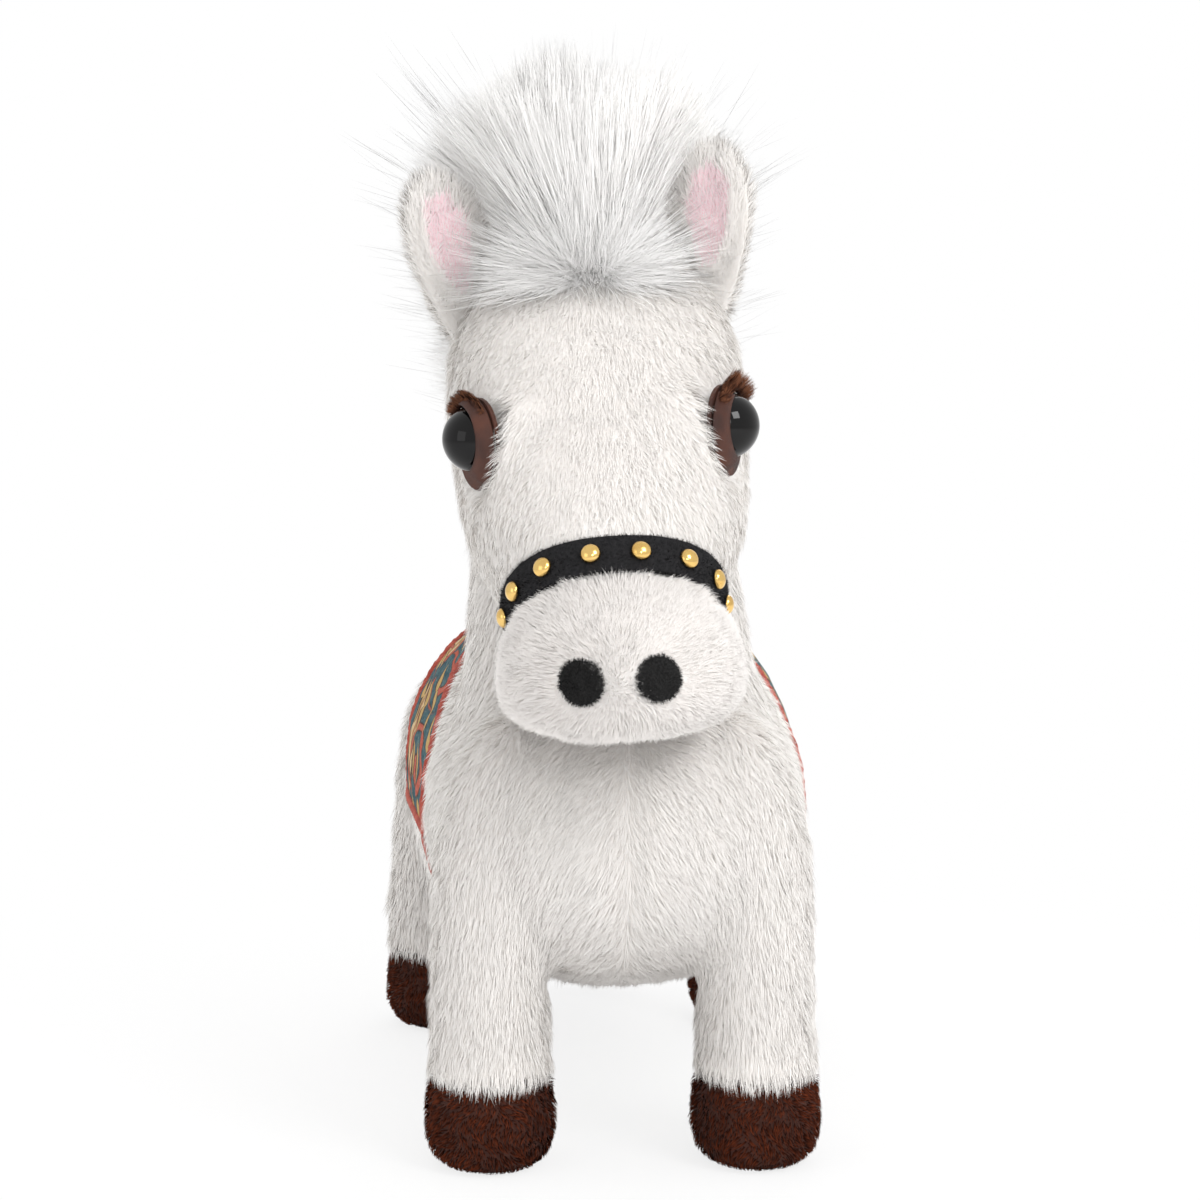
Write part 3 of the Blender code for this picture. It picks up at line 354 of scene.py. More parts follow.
origin_shift = Vector((0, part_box("saddle_blanket")[1].y - BLANKET_REAR, 0))
shift_y = origin_shift.y
poise = Matrix.Translation(origin_shift + Vector((0, 0, 0.090))) @ Matrix.Rotation(LEAN, 4, "Y")
head_frame = poise @ Matrix.Translation((0, -0.082, 0.046)) @ Matrix.Rotation(FACE_PITCH, 4, "X")


def local(frame_matrix, points):
    """Points of the row frame as seen in a frame."""
    inverse = np.array(frame_matrix.inverted())
    return points @ inverse[:3, :3].T + inverse[:3, 3]


def turned(frame_matrix, directions):
    """Directions of a frame as seen in the row frame."""
    return directions @ np.array(frame_matrix)[:3, :3].T


def disc_frame(node):
    """The place and the axis of a flat-backed node: its largest flat side is its floor."""
    points, faces = mesh_arrays(nodes[node].data)
    corners = points[faces]
    normals = np.cross(corners[:, 1] - corners[:, 0], corners[:, 2] - corners[:, 0])
    areas = np.linalg.norm(normals, axis=1)
    units = normals / np.maximum(areas, 1e-16)[:, None]
    best = units[int(np.argmax([(areas * (units @ each > 0.999)).sum() for each in units]))]
    flat = units @ best > 0.999
    middle = (corners[flat].mean(axis=1) * areas[flat][:, None]).sum(0) / areas[flat].sum()
    return Vector(middle), Vector(-best)


eye_places = {}
for side in SIDES:
    sideways = -NOSEWARDS[side] * math.sin(EYE_TURN)
    outwards = poise.to_3x3() @ Vector((sideways, -math.cos(EYE_TURN), 0))
    out = np.array(outwards)
    patch_points, _ = mesh_arrays(nodes[f"{side}_eye_patch"].data)
    dome_points, _ = mesh_arrays(nodes[f"{side}_eye"].data)
    proud = dome_points @ out
    middle = dome_points[proud > proud.max() - DOME_DEPTH].mean(0)
    middle = middle + out * ((patch_points @ out).min() - middle @ out)
    up = poise.to_3x3() @ Vector((0, 0, 1))
    turn = Matrix((up.cross(outwards).normalized(), up, outwards)).transposed().to_4x4()
    eye_places[side] = Matrix.Translation(Vector(middle)) @ turn
    print(side, "eye at", [round(v * 1000, 1) for v in middle])

# %% [markdown]
# ## The skin
# The toy's cloth runs without a step from the body into the neck, the head and the legs. Copies of the
# stuffed solids are swollen by a hair's breadth so that their seam gaps close, joined, and remeshed into
# one skin with even faces, which a few rounds of smoothing blend at the shoulders.

# %% Skin
def copy_of(name, source_names, swell=0.0):
    """One mesh of copies of CAD nodes, doubles merged, moved out along the normals by swell."""
    build = bmesh.new()
    for source in source_names:
        piece = bmesh.new()
        piece.from_mesh(nodes[source].data)
        bmesh.ops.remove_doubles(piece, verts=piece.verts, dist=1e-5)
        piece.normal_update()
        for vertex in piece.verts:
            vertex.co += vertex.normal * swell
        part = mesh_of("part", piece)
        build.from_mesh(part)
        bpy.data.meshes.remove(part)
    return added(name, mesh_of(name, build))


def settle(piece):
    """Turns a piece's modifiers into its plain mesh."""
    graph = bpy.context.evaluated_depsgraph_get()
    mesh = bpy.data.meshes.new_from_object(piece.evaluated_get(graph), depsgraph=graph)
    piece.modifiers.clear()
    piece.data = mesh
    return piece


def remeshed(piece, voxel, rounds):
    remesh = piece.modifiers.new("remesh", "REMESH")
    remesh.mode, remesh.voxel_size, remesh.use_smooth_shade = "VOXEL", voxel, True
    smoothing = piece.modifiers.new("smooth", "SMOOTH")
    smoothing.factor, smoothing.iterations = 0.5, rounds
    return settle(piece)


stuffed = ["torso", "neck", "head", "muzzle", *(f"{end}_{side}_leg" for end in ENDS for side in SIDES)]
TORSO, HEAD, MUZZLE = (stuffed.index(name) for name in ("torso", "head", "muzzle"))
skin = remeshed(copy_of("skin", stuffed + ["tail_dock"], 0.0005), 0.0019, 9)
print("skin:", len(skin.data.vertices), "vertices")

# %% [markdown]
# ## What each spot of the skin grows
# Fur needs to know, for every spot of the skin, which way it was brushed, how long it is, how dense it
# stands and which panel it belongs to. Each vertex asks which stuffed solid is nearest and gets that
# panel's direction and length. Averaging with the neighbours makes the directions flow across the seams.

# %% Panels of the skin
points, _ = mesh_arrays(skin.data)
x, y, z = points.T
normals = read(skin.data.vertices, "normal").astype(float)
edges = read(skin.data.edges, "vertices", 2, np.int32)
trees = {name: surface_tree(nodes[name].data) for name in stuffed + ["saddle_blanket"]}


def distances(tree, reach=0.02):
    """Distance of each skin vertex to a surface, at most reach."""
    found = [tree.find_nearest(Vector(point), reach)[3] for point in points]
    return np.array([reach if value is None else value for value in found])


def unit(vectors):
    return vectors / np.maximum(np.linalg.norm(vectors, axis=1), 1e-9)[:, None]


def along_skin(vectors):
    """Directions without their part that points out of the skin."""
    return unit(vectors - normals * (vectors * normals).sum(axis=1)[:, None])


def columns(*parts):
    """Vectors from their parts: arrays, or numbers that all vectors share."""
    return np.stack(np.broadcast_arrays(*parts), axis=1)


def ramp(values, low=0.0, high=1.0):
    return np.clip(values, low, high)


def averaged(values, rounds):
    """Values of the vertices, averaged with their neighbours a number of times."""
    values = values.astype(float)
    count = np.bincount(edges.ravel(), minlength=len(values)).astype(float) + 1
    for _ in range(rounds):
        total = values.copy()
        np.add.at(total, edges[:, 0], values[edges[:, 1]])
        np.add.at(total, edges[:, 1], values[edges[:, 0]])
        values = total / (count if values.ndim == 1 else count[:, None])
    return values


gaps = np.array([distances(trees[name]) for name in stuffed])
panel = gaps.argmin(axis=0)
print({name: int((panel == index).sum()) for index, name in enumerate(stuffed)})

# %% [markdown]
# The hair of the face lies from the forehead down to the noseband and spreads to the cheeks. On the
# chest it parts at the centre seam. On the legs it hangs and on the back it runs to the tail.

# %% Direction, length and density
FUR = {"torso": 0.0068, "neck": 0.0066, "head": 0.0052, "muzzle": 0.0047}
LEG_FUR, LID_FUR = 0.0066, 0.0046
BAND_MIDDLE = 0.0059
BAND_EDGES = (0.0006, 0.0112)
PATCH_SIZE = (0.0215, 0.0235)
PATCH_CENTRE = (0.0026, -0.0012)
PATCH_POWER = 2.33

in_head = local(head_frame, points)
half = ramp(x / 0.02, -1)
spread = ramp(in_head[:, 0] / 0.035, -1)
chest = ramp((shift_y - 0.055 - y) / 0.02)[:, None]
nose = np.array(poise @ Vector((-0.0018, -0.128, 0.044)))
chest_way = columns(ramp(x / 0.045, -1) * 0.45 + 0.16 * half, 0, -1.0)
ways = {
    "torso": columns(0.22 * half, 0.55, -1.0) * (1 - chest) + chest_way * chest,
    "neck": columns(0.22 * half, 0.10, -1.0),
    "head": turned(head_frame, columns(0.55 * spread, -1.0, np.where(in_head[:, 2] > 0, -0.1, -0.6))),
    "muzzle": points - nose,
}
comb, length = np.zeros_like(points), np.zeros(len(points))
for index, name in enumerate(stuffed):
    here = panel == index
    comb[here] = unit(ways.get(name, columns(0.10 * np.sign(x), 0, -1.0)))[here]
    length[here] = FUR.get(name, LEG_FUR)

parting = ramp((0.022 - np.abs(x)) / 0.014) * chest[:, 0]
comb = averaged(comb, 14)
comb[:, 0] += 0.55 * np.sign(x) * parting * (panel == TORSO)
comb = along_skin(comb)
length = averaged(length, 10)
length *= 1 - 0.22 * ramp((shift_y - 0.035 - y) / 0.02)


def from_patch(side, seen_at):
    """Distance of places in an eye's frame to the outline of its patch, negative inside."""
    across = (seen_at[:, 0] - NOSEWARDS[side] * PATCH_CENTRE[0]) / (PATCH_SIZE[0] / 2)
    up = (seen_at[:, 1] - PATCH_CENTRE[1]) / (PATCH_SIZE[1] / 2)
    rounded = (np.abs(across) ** PATCH_POWER + np.abs(up) ** PATCH_POWER) ** (1 / PATCH_POWER)
    return 0.0112 * (rounded - 1)


density = np.ones(len(points))
density[distances(trees["saddle_blanket"]) < 0.0022] = 0
band = (in_head[:, 1] > BAND_EDGES[0]) & (in_head[:, 1] < BAND_EDGES[1])
band &= (np.abs(in_head[:, 2]) < 0.045) & ((gaps[HEAD] < 0.004) | (gaps[MUZZLE] < 0.004))
density[band] = 0
near_band = ramp(np.abs(in_head[:, 1] - BAND_MIDDLE) / 0.014, 0.45)
above_band = np.isin(panel, [HEAD, MUZZLE]) & (in_head[:, 1] >= BAND_MIDDLE)
length = np.where(above_band, length * near_band, length)
for side, eye in eye_places.items():
    seen_at = local(eye, points)
    reach = np.hypot(seen_at[:, 0], seen_at[:, 1])
    close = np.abs(seen_at[:, 2]) < 0.012
    inwards = NOSEWARDS[side] * seen_at[:, 0] / np.maximum(reach, 1e-6)
    density[(from_patch(side, seen_at) < -0.0003) & close] = 0
    shorter = length * np.where(inwards > 0.2, 1, ramp((reach - 0.004) / 0.014, 0.35))
    by_lid = (inwards > 0.2) & (reach < 0.0185)
    length = np.where(close, np.where(by_lid, LID_FUR, shorter), length)
    near_eye = close & (inwards > 0.1) & (reach < 0.022)
    to_eye = turned(eye, columns(-seen_at[:, 0], -seen_at[:, 1] * 0.6, 0 * reach))
    pull = 1.2 * (near_eye * ramp((0.0178 - reach) / 0.004))[:, None]
    comb = along_skin(comb + unit(to_eye) * pull)
for side in SIDES:
    low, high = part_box(f"{side}_nostril")
    middle = np.array((low + high) / 2)
    reach = np.linalg.norm((points - middle)[:, (0, 2)], axis=1)
    close = y < middle[1] + 0.01
    density[(reach < 0.0052) & close] = 0
    length = np.where(close, length * ramp(reach / 0.009, 0.55), length)
print("length mm:", round(length.min() * 1000, 2), "to", round(length.max() * 1000, 2))

# %% [markdown]
# The trimmings press the skin in. Its cloth bells out over the hooves, and it rises to the edge of each
# eye patch on the side of the nose, so that the fur closes around the leatherette.

# %% Pressing the skin under the trimmings
SUNK = {"head": 0.0008, "muzzle": 0.0006, "neck": 0.0016, "torso": 0.0013}
LEG_SUNK = 0.0012
GROOVE, BAND_PRESS = 0.0022, 0.0011
BELL = 0.0019
PATCH_EDGE = 0.0016

from_cloth = distances(trees["saddle_blanket"], 0.03)
press = np.array([SUNK.get(name, LEG_SUNK) for name in stuffed])[panel]
press = averaged(press * ramp((from_cloth - 0.003) / 0.02), 8)
length *= ramp(from_cloth / 0.009, 0.45)
groove = np.exp(-((x / 0.0022) ** 2)) * ramp((-0.06 - y) / 0.01)
groove *= ramp((z - 0.05) / 0.02) * ramp((0.125 - z) / 0.02)
press += GROOVE * groove
press[band] += BAND_PRESS
press = averaged(press, 2)
moved = points - normals * press[:, None]
for end in ENDS:
    top = max(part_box(f"{end}_{side}_hoof")[1].z for side in SIDES)
    low_leg = np.isin(panel, [stuffed.index(f"{end}_{side}_leg") for side in SIDES])
    near = low_leg * ramp((top + 0.008 - z) / 0.006)
    moved[:, :2] += normals[:, :2] * BELL * near[:, None]
    ahead = ramp(-normals[:, 1]) ** 2 * (end == "front")
    length *= 1 + near * (0.50 * ahead - 0.12)
    comb = unit(comb + normals * 0.12 * near[:, None])
unpulled = moved.copy()
for side, eye in eye_places.items():
    seen_at = local(eye, moved)
    reach = np.hypot(seen_at[:, 0], seen_at[:, 1])
    limit = 0.9 * np.maximum(from_patch(side, seen_at), 0) - 0.0001
    lower = (seen_at[:, 2] > limit) & (seen_at[:, 2] < 0.012) & (reach < 0.020)
    seen_at[lower, 2] = limit[lower]
    edge = from_patch(side, seen_at)
    fade = (1 - ramp(edge / 0.0075)) ** 2
    fade *= ramp((0.0125 - np.abs(seen_at[:, 1] + 0.001)) / 0.005)
    low = (edge > 0) & (fade > 0) & (seen_at[:, 2] > -0.012) & (seen_at[:, 2] < PATCH_EDGE)
    low &= NOSEWARDS[side] * seen_at[:, 0] > 0
    seen_at[low, 2] += ((PATCH_EDGE - seen_at[:, 2]) * fade)[low]
    back = turned(eye, seen_at) + np.array(eye)[:3, 3]
    moved[lower | low] = back[lower | low]
moved = unpulled + averaged(moved - unpulled, 2)
skin.data.vertices.foreach_set("co", moved.astype(np.float32).ravel())
skin.data.update()

ZONES = {"head": 1, "muzzle": 2, "neck": 3, "torso": 4}
FRONT_LEG_ZONE, HIND_LEG_ZONE, CHEST_ZONE = 5, 6, 7
leg_zone = {name: FRONT_LEG_ZONE if name.startswith("front") else HIND_LEG_ZONE for name in stuffed}
zone = np.array([ZONES.get(name, leg_zone[name]) for name in stuffed])[panel]
zone[(zone == ZONES["torso"]) & (y < shift_y - 0.030)] = CHEST_ZONE


def sow(piece, comb, length, density=1.0, zone=1):
    """Stores on a surface what each of its vertices grows."""
    store(piece.data, "comb", comb, "FLOAT_VECTOR")
    store(piece.data, "pile_length", length)
    store(piece.data, "pile_density", density)
    store(piece.data, "zone", zone, "INT")


pole = np.hypot(x - nose[0], z - nose[2])
standing = (panel == MUZZLE) & (y < nose[1] + 0.02)
comb = comb * np.where(standing, ramp(pole / 0.010, 0.08), 1)[:, None]
sow(skin, comb, length, density, zone)
print("skin attributes:", [a.name for a in skin.data.attributes if a.name in ("comb", "zone")])

# %% [markdown]
# ## Pile
# Plush is a cloth with thousands of short fibres. Particle hair would not survive the export, so a
# Geometry Nodes tree scatters points on the skin and puts one small tapered ribbon on each. The ribbon
# leans along the brushed direction, and its tip is pulled towards the tip of the nearest tuft, which
# makes the locks. The tree ends in real faces with a material.

# %% Strand template
def strand_mesh(name, steps, bulge, taper):
    """A ribbon from the origin along +Z, one wide and one long, with its face towards +Y."""
    rows = []
    for along in (step / steps for step in range(steps)):
        half_width = 0.5 * (1 - (1 - taper) * along)
        lift = bulge * math.sin(math.pi * along**0.8)
        rows += [(-half_width, lift, along), (half_width, lift, along)]
    tip = len(rows)
    rows.append((0, 0, 1))
    quads = [(a, a + 2, a + 3, a + 1) for a in range(0, tip - 2, 2)]
    mesh = bpy.data.meshes.new(name)
    mesh.from_pydata(rows, [], quads + [(tip - 2, tip, tip - 1)])
    mesh.shade_smooth()
    store(mesh, "along", [row[2] for row in rows])
    return added(name, mesh)


fibre = strand_mesh("fibre", 2, 0.13, 0.75)
wisp = strand_mesh("wisp", 3, 0.10, 0.5)
hair = strand_mesh("hair", 5, 0.07, 0.45)
print("fibre:", len(fibre.data.vertices), "vertices; hair:", len(hair.data.vertices))


# %% Parts of the node trees
def geometry_tree(name, **inputs):
    """A node tree with named inputs: whole numbers, numbers, or the kind of thing they take."""
    group = bpy.data.node_groups.new(name, "GeometryNodeTree")
    group.interface.new_socket("Geometry", in_out="INPUT", socket_type="NodeSocketGeometry")
    for label, default in inputs.items():
        kind = {int: "Int", float: "Float"}.get(type(default), default)
        socket = group.interface.new_socket(label, in_out="INPUT", socket_type=f"NodeSocket{kind}")
        if kind != default:
            socket.default_value = default
    group.interface.new_socket("Geometry", in_out="OUTPUT", socket_type="NodeSocketGeometry")
    return Tree(group)


def attribute(tree, name, kind="FLOAT"):
    return tree.node("GeometryNodeInputNamedAttribute", {"data_type": kind}, name)


def chance(tree, low, high, seed):
    kind = {"data_type": "FLOAT"}
    return tree.node("FunctionNodeRandomValue", kind, Min=low, Max=high, Seed=seed)


def scatter(tree, reach, seed):
    """A random vector with parts from -reach to reach."""
    kind = {"data_type": "FLOAT_VECTOR"}
    return tree.node("FunctionNodeRandomValue", kind, Min=(-reach,) * 3, Max=(reach,) * 3, Seed=seed)


def strewn(tree, surface, density, seed, **more):
    """Points on a surface."""
    return tree.node(
        "GeometryNodeDistributePointsOnFaces", None, Mesh=surface, Density=density, Seed=seed, **more
    )


def marked(tree, geometry, name, value, kind="FLOAT", domain="POINT"):
    settings = {"data_type": kind, "domain": domain}
    return tree.node("GeometryNodeStoreNamedAttribute", settings, geometry, Name=name, Value=value)


def planted(tree, given, roots, way, up, size=None, marks=(), second="Y"):
    """Ends a tree: the template stands on each point along way, with its marks, as real faces."""
    axes = {"primary_axis": "Z", "secondary_axis": second}
    item = tree.node("GeometryNodeObjectInfo", {"transform_space": "ORIGINAL"}, given["Strand"])
    made = tree.node(
        "GeometryNodeInstanceOnPoints",
        None,
        Points=roots,
        Instance=item["Geometry"],
        Rotation=tree.node("FunctionNodeAxesToRotation", axes, way, up),
        Scale=size,
    )
    for name, value, kind in marks:
        made = marked(tree, made, name, value, kind, "INSTANCE")
    made = tree.node("GeometryNodeRealizeInstances", None, made)
    made = tree.node("GeometryNodeSetMaterial", None, made, Material=given["Finish"])
    tree.node("NodeGroupOutput", None, made)
    print(f"{tree.tree.name} tree:", len(tree.tree.nodes), "nodes")


print("parts of the trees ready")


# %% Tree for pile
pile = geometry_tree(
    "pile", Zone=1, Density=2.4e6, Tufts=9e4, Pull=0.22, Lift=0.30, Unrest=0.38, Wander=160.0,
    Width=0.00016, Seed=1, Strand="Object", Finish="Material",
)
given = pile.node("NodeGroupInput")
chosen = pile.node(
    "FunctionNodeCompare",
    {"data_type": "INT", "operation": "EQUAL"},
    attribute(pile, "zone", "INT"),
    given["Zone"],
)
dense = given["Density"] * attribute(pile, "pile_density")
roots = strewn(pile, given["Geometry"], dense, given["Seed"], Selection=chosen)
tufts = strewn(pile, given["Geometry"], given["Tufts"], given["Seed"] + 7)
position = pile.node("GeometryNodeInputPosition")


def leaning(normal):
    """The direction of a fibre: brushed, but standing up by Lift."""
    brushed = attribute(pile, "comb", "FLOAT_VECTOR")
    return pile.vector("NORMALIZE", pile.total(brushed, pile.scaled(normal, given["Lift"])))


where = pile.noise(given["Wander"], 1.0, where=position)["Color"]
wander = pile.scaled(pile.vector("SUBTRACT", where, (0.5, 0.5, 0.5)), given["Unrest"] * 2.0)
jitter = pile.scaled(scatter(pile, 1.0, 3), given["Unrest"] * 0.5)
own = pile.vector("NORMALIZE", pile.total(leaning(roots["Normal"]), wander, jitter))
own = pile.scaled(own, attribute(pile, "pile_length") * chance(pile, 0.70, 1.15, 5))

near = pile.node("GeometryNodeSampleNearest", None, tufts, position)
lean = pile.total(leaning(tufts["Normal"]), wander)
tuft_tip = pile.total(position, pile.scaled(lean, attribute(pile, "pile_length") * 1.05))
tuft_tip = pile.node(
    "GeometryNodeSampleIndex", {"data_type": "FLOAT_VECTOR"}, tufts, tuft_tip, near
)
pull = given["Pull"] * chance(pile, 0.3, 1.3, 11)
to_tuft = pile.vector("SUBTRACT", tuft_tip, position)
way = pile.node("ShaderNodeMix", {"data_type": "VECTOR"}, pull, own, to_tuft)
span = pile.vector("LENGTH", way)
wide = given["Width"] * chance(pile, 0.75, 1.25, 17)
planted(
    pile,
    given,
    roots,
    way,
    pile.total(roots["Normal"], scatter(pile, 0.7, 13)),
    pile.node("ShaderNodeCombineXYZ", None, wide, span, span),
    (("tone", chance(pile, 0.0, 1.0, 19), "FLOAT"), ("facing", roots["Normal"], "FLOAT_VECTOR")),
)


# %% [markdown]
# `grow` runs a tree on a copy of a surface and keeps the result as a plain mesh. Every strand then gets
# its own small cell of the UV map, counted from the order of the strands, so that colour can be baked on
# it. Its shading normals lean towards those of the skin under it: a fibre is round and lets light
# through, so a flat ribbon with its own hard normal would look like confetti. A strand whose face looks
# into the skin is turned over, because the back of a face is shaded as if it were lit from inside.

# %% Growing
CARRIED = ("comb", "pile_length", "pile_density", "zone", "room", "sewn", "way", "span", "far", "UVMap")


def run(holder, tree, **values):
    """Runs a tree on an object and keeps the result as its plain mesh."""
    modifier = holder.modifiers.new(holder.name, "NODES")
    modifier.node_group = tree.tree
    for item in tree.tree.interface.items_tree:
        if item.in_out == "INPUT" and item.name in values:
            modifier[item.identifier] = values[item.name]
    return settle(holder)


def turned_over(mesh, template, over):
    """Reverses the faces of the strands marked in over, and returns the corners' vertices."""
    size = len(template.data.loops)
    vertex_order, edge_order = np.arange(size), np.arange(size)
    for polygon in template.data.polygons:
        start, end = polygon.loop_start, polygon.loop_start + polygon.loop_total
        vertex_order[start + 1 : end] = vertex_order[start + 1 : end][::-1]
        edge_order[start:end] = edge_order[start:end][::-1]
    for kind, order in (("edge_index", edge_order), ("vertex_index", vertex_order)):
        table = read(mesh.loops, kind, 1, np.int32).reshape(-1, size)
        table[over] = table[over][:, order]
        mesh.loops.foreach_set(kind, table.ravel())
    mesh.update()
    return table.ravel()


def grow(name, source, tree, template, softness=0.92, **values):
    holder = run(added(name, source.data.copy()), tree, Strand=template, **values)
    mesh = holder.data
    for extra in CARRIED:
        if extra in mesh.attributes:
            mesh.attributes.remove(mesh.attributes[extra])
    shape = np.array([vertex.co[:] for vertex in template.data.vertices])
    corners = len(shape)
    count = len(mesh.vertices) // corners
    flat = np.stack([0.5 + 0.8 * shape[:, 0], 0.06 + 0.88 * shape[:, 2]], axis=1)
    cells = math.ceil(math.sqrt(count))
    index = np.arange(count)
    grid = np.stack([index % cells, index // cells], axis=1)
    uv = ((grid[:, None, :] + flat[None]) / cells).reshape(-1, 2)
    own_normal = read(mesh.vertices, "normal")
    skin_normal = read(mesh.attributes["facing"].data, "vector")
    facing = (own_normal * skin_normal).sum(axis=1).reshape(count, corners).mean(axis=1)
    loops = turned_over(mesh, template, facing < 0)
    mesh.uv_layers.new(name="OFBake").data.foreach_set("uv", uv[loops].astype(np.float32).ravel())
    side = np.repeat(np.where(facing < 0, -1, 1), corners)[:, None]
    blended = own_normal * side * (1 - softness) + skin_normal * softness
    mesh.attributes.remove(mesh.attributes["facing"])
    mesh.shade_smooth()
    mesh.normals_split_custom_set_from_vertices(unit(blended).astype(np.float32))
    print(f"{name}: {count} strands")
    return holder


print("grow ready, carried attributes:", len(CARRIED))


# %% [markdown]
# Each strand is painted darker towards its root, a painted shade for the depth of the pile, and lighter
# towards its tip, a painted highlight; the root is also a little warmer in tone. The colour also follows
# each strand's own tone. Slow noise adds the faint mottling of pile that was brushed unevenly. Long hair
# is painted grey where single hairs stand out of the mass: painted shade on the stray hairs.

# %% Plush materials
def plush(name, root, tip, spread, stray_hair_shade=None, **values):
    def paint(tree):
        def of_strand(label):
            return tree.node("ShaderNodeAttribute", {"attribute_name": label})["Fac"]

        # Painted shade and painted highlight: each strand is darker towards its root and lighter towards
        # its tip.
        base = tree.mix(of_strand("along").smooth(0.0, 0.8), root, tip)
        # Painted shade: hairs that stand out of the mass are painted grey.
        if stray_hair_shade:
            base = tree.mix(of_strand("beyond").smooth(0.004, 0.013), base, stray_hair_shade)
        mottle = tree.noise(70.0).smooth(0.35, 0.7) * (spread * 0.5)
        dark = (1 - of_strand("tone")) * spread + mottle
        return {"Base_Color": tree.mix(dark, base, tuple(value * 0.45 for value in root))}

    return material(name, paint, **{"Roughness": 0.85, "Specular_IOR_Level": 0.25, **values})


# In each pile below, the darker root colour is painted shade deep in the pile and the lighter tip colour
# is a painted highlight.
white_pile = plush("white_pile", (0.925, 0.885, 0.845), (0.972, 0.948, 0.920), 0.03)
muzzle_pile = plush("muzzle_pile", (0.92, 0.875, 0.84), (0.962, 0.930, 0.900), 0.03)
brown_pile = plush(
    "brown_pile", (0.026, 0.006, 0.003), (0.160, 0.036, 0.014), 0.6, Specular_IOR_Level=0.06
)
lash_pile = plush("lash_pile", (0.060, 0.020, 0.010), (0.30, 0.115, 0.055), 0.4)
pink_pile = plush("pink_pile", (0.99, 0.68, 0.73), (0.99, 0.84, 0.87), 0.01)
# The grey here is painted shade on hairs that stand out of the mass.
long_hair = plush(
    "long_hair", (0.985, 0.97, 0.955), (0.985, 0.974, 0.962), 0.02, (0.56, 0.55, 0.545), Roughness=0.75
)
skin_cloth = mottled("skin_cloth", 900.0, (0.91, 0.89, 0.87), (0.96, 0.94, 0.92), Roughness=0.95)
hoof_cloth = mottled("hoof_cloth", 700.0, (0.030, 0.008, 0.005), (0.07, 0.02, 0.010), Roughness=0.95)
print("plush materials ready")

# %% Body pile
cover(skin, skin_cloth)
for name, number, strands_per_m2, extra in (
    ("head_pile", ZONES["head"], 3.8e6, {"Lift": 0.36}),
    (
        "muzzle_pile",
        ZONES["muzzle"],
        8.5e6,
        {"Tufts": 3e5, "Lift": 0.8, "Unrest": 0.7, "Width": 0.00013},
    ),
    ("neck_pile", ZONES["neck"], 4.2e6, {}),
    ("chest_pile", CHEST_ZONE, 4.6e6, {"Width": 0.00014}),
    ("torso_pile", ZONES["torso"], 1.8e6, {"Width": 0.00027}),
    ("front_leg_pile", FRONT_LEG_ZONE, 4.2e6, {}),
    ("hind_leg_pile", HIND_LEG_ZONE, 2.6e6, {"Width": 0.00022}),
):
    finish, slot = white_pile, "white_plush"
    if name == "muzzle_pile":
        finish, slot = muzzle_pile, "muzzle_plush"
    grown = grow(
        name, skin, pile, fibre, Finish=finish, Zone=number, Seed=number * 20,
        Density=strands_per_m2, **extra,
    )
    belong("horse", slot, grown)
belong("horse", "white_plush", skin)
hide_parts(*stuffed, "tail_dock")

# %% [markdown]
# ## Mane and forelock
# The hair is long, straight and stiff enough to stand. It is sewn in along a line: across the forehead
# for the forelock, and down the crest of the neck for the mane. A tree scatters the tips of locks on the
# surface of the solid that stands for the hair's mass, finds the nearest place of the sewing line, and
# fills each lock with hairs that meet near its tip. Most locks end at the surface, and some reach
# further, which makes the thin spikes of its outline.

# %% Tree for locks of hair
ROOM_LOW, ROOM_HIGH = (-0.0740, -0.15, 0.0), (0.0740, 0.15, 0.2968)

locks = geometry_tree(
    "locks", Density=3e4, Hairs=30, Root_spread=0.003, Tip_spread=0.0022, Shortest=0.55, Reach=1.0,
    Spikes=0.4, Width=0.00028, Seed=1, Line="Object", Strand="Object", Finish="Material",
)
given = locks.node("NodeGroupInput")
line = locks.node("GeometryNodeObjectInfo", {"transform_space": "ORIGINAL"}, given["Line"])
tips = strewn(locks, given["Geometry"], given["Density"], given["Seed"])
here = locks.node("GeometryNodeInputPosition")
on_line = locks.node(
    "GeometryNodeProximity", {"target_element": "EDGES"}, Geometry=line["Geometry"], Sample_Position=here
)
far = chance(locks, 0.0, 1.0, 23) ** 1.7 * given["Spikes"] * attribute(locks, "room")
far = far + given["Reach"] * chance(locks, 0.86, 1.04, 29)
kept = marked(locks, tips, "facing", tips["Normal"], "FLOAT_VECTOR")
kept = marked(locks, kept, "sewn", on_line, "FLOAT_VECTOR")
kept = marked(locks, kept, "far", far)
hairs = locks.node(
    "GeometryNodeDuplicateElements", {"domain": "POINT"}, Geometry=kept, Amount=given["Hairs"]
)
sewn = attribute(locks, "sewn", "FLOAT_VECTOR")
root = locks.total(sewn, locks.scaled(scatter(locks, 1.0, 31), given["Root_spread"]))
to_tip = locks.scaled(locks.vector("SUBTRACT", here, sewn), attribute(locks, "far"))
lock_tip = locks.total(sewn, to_tip, locks.scaled(scatter(locks, 1.0, 37), given["Tip_spread"]))
lock_tip = locks.vector("MINIMUM", locks.vector("MAXIMUM", lock_tip, ROOM_LOW), ROOM_HIGH)
part = chance(locks, 0.0, 1.0, 41) ** 0.6 * (1 - given["Shortest"]) + given["Shortest"]
whole = locks.scaled(locks.vector("SUBTRACT", lock_tip, root), part)
hairs = marked(locks, hairs, "way", whole, "FLOAT_VECTOR")
hairs = marked(locks, hairs, "span", locks.vector("LENGTH", whole))
span = attribute(locks, "span")
wide = given["Width"] * chance(locks, 0.7, 1.25, 47)
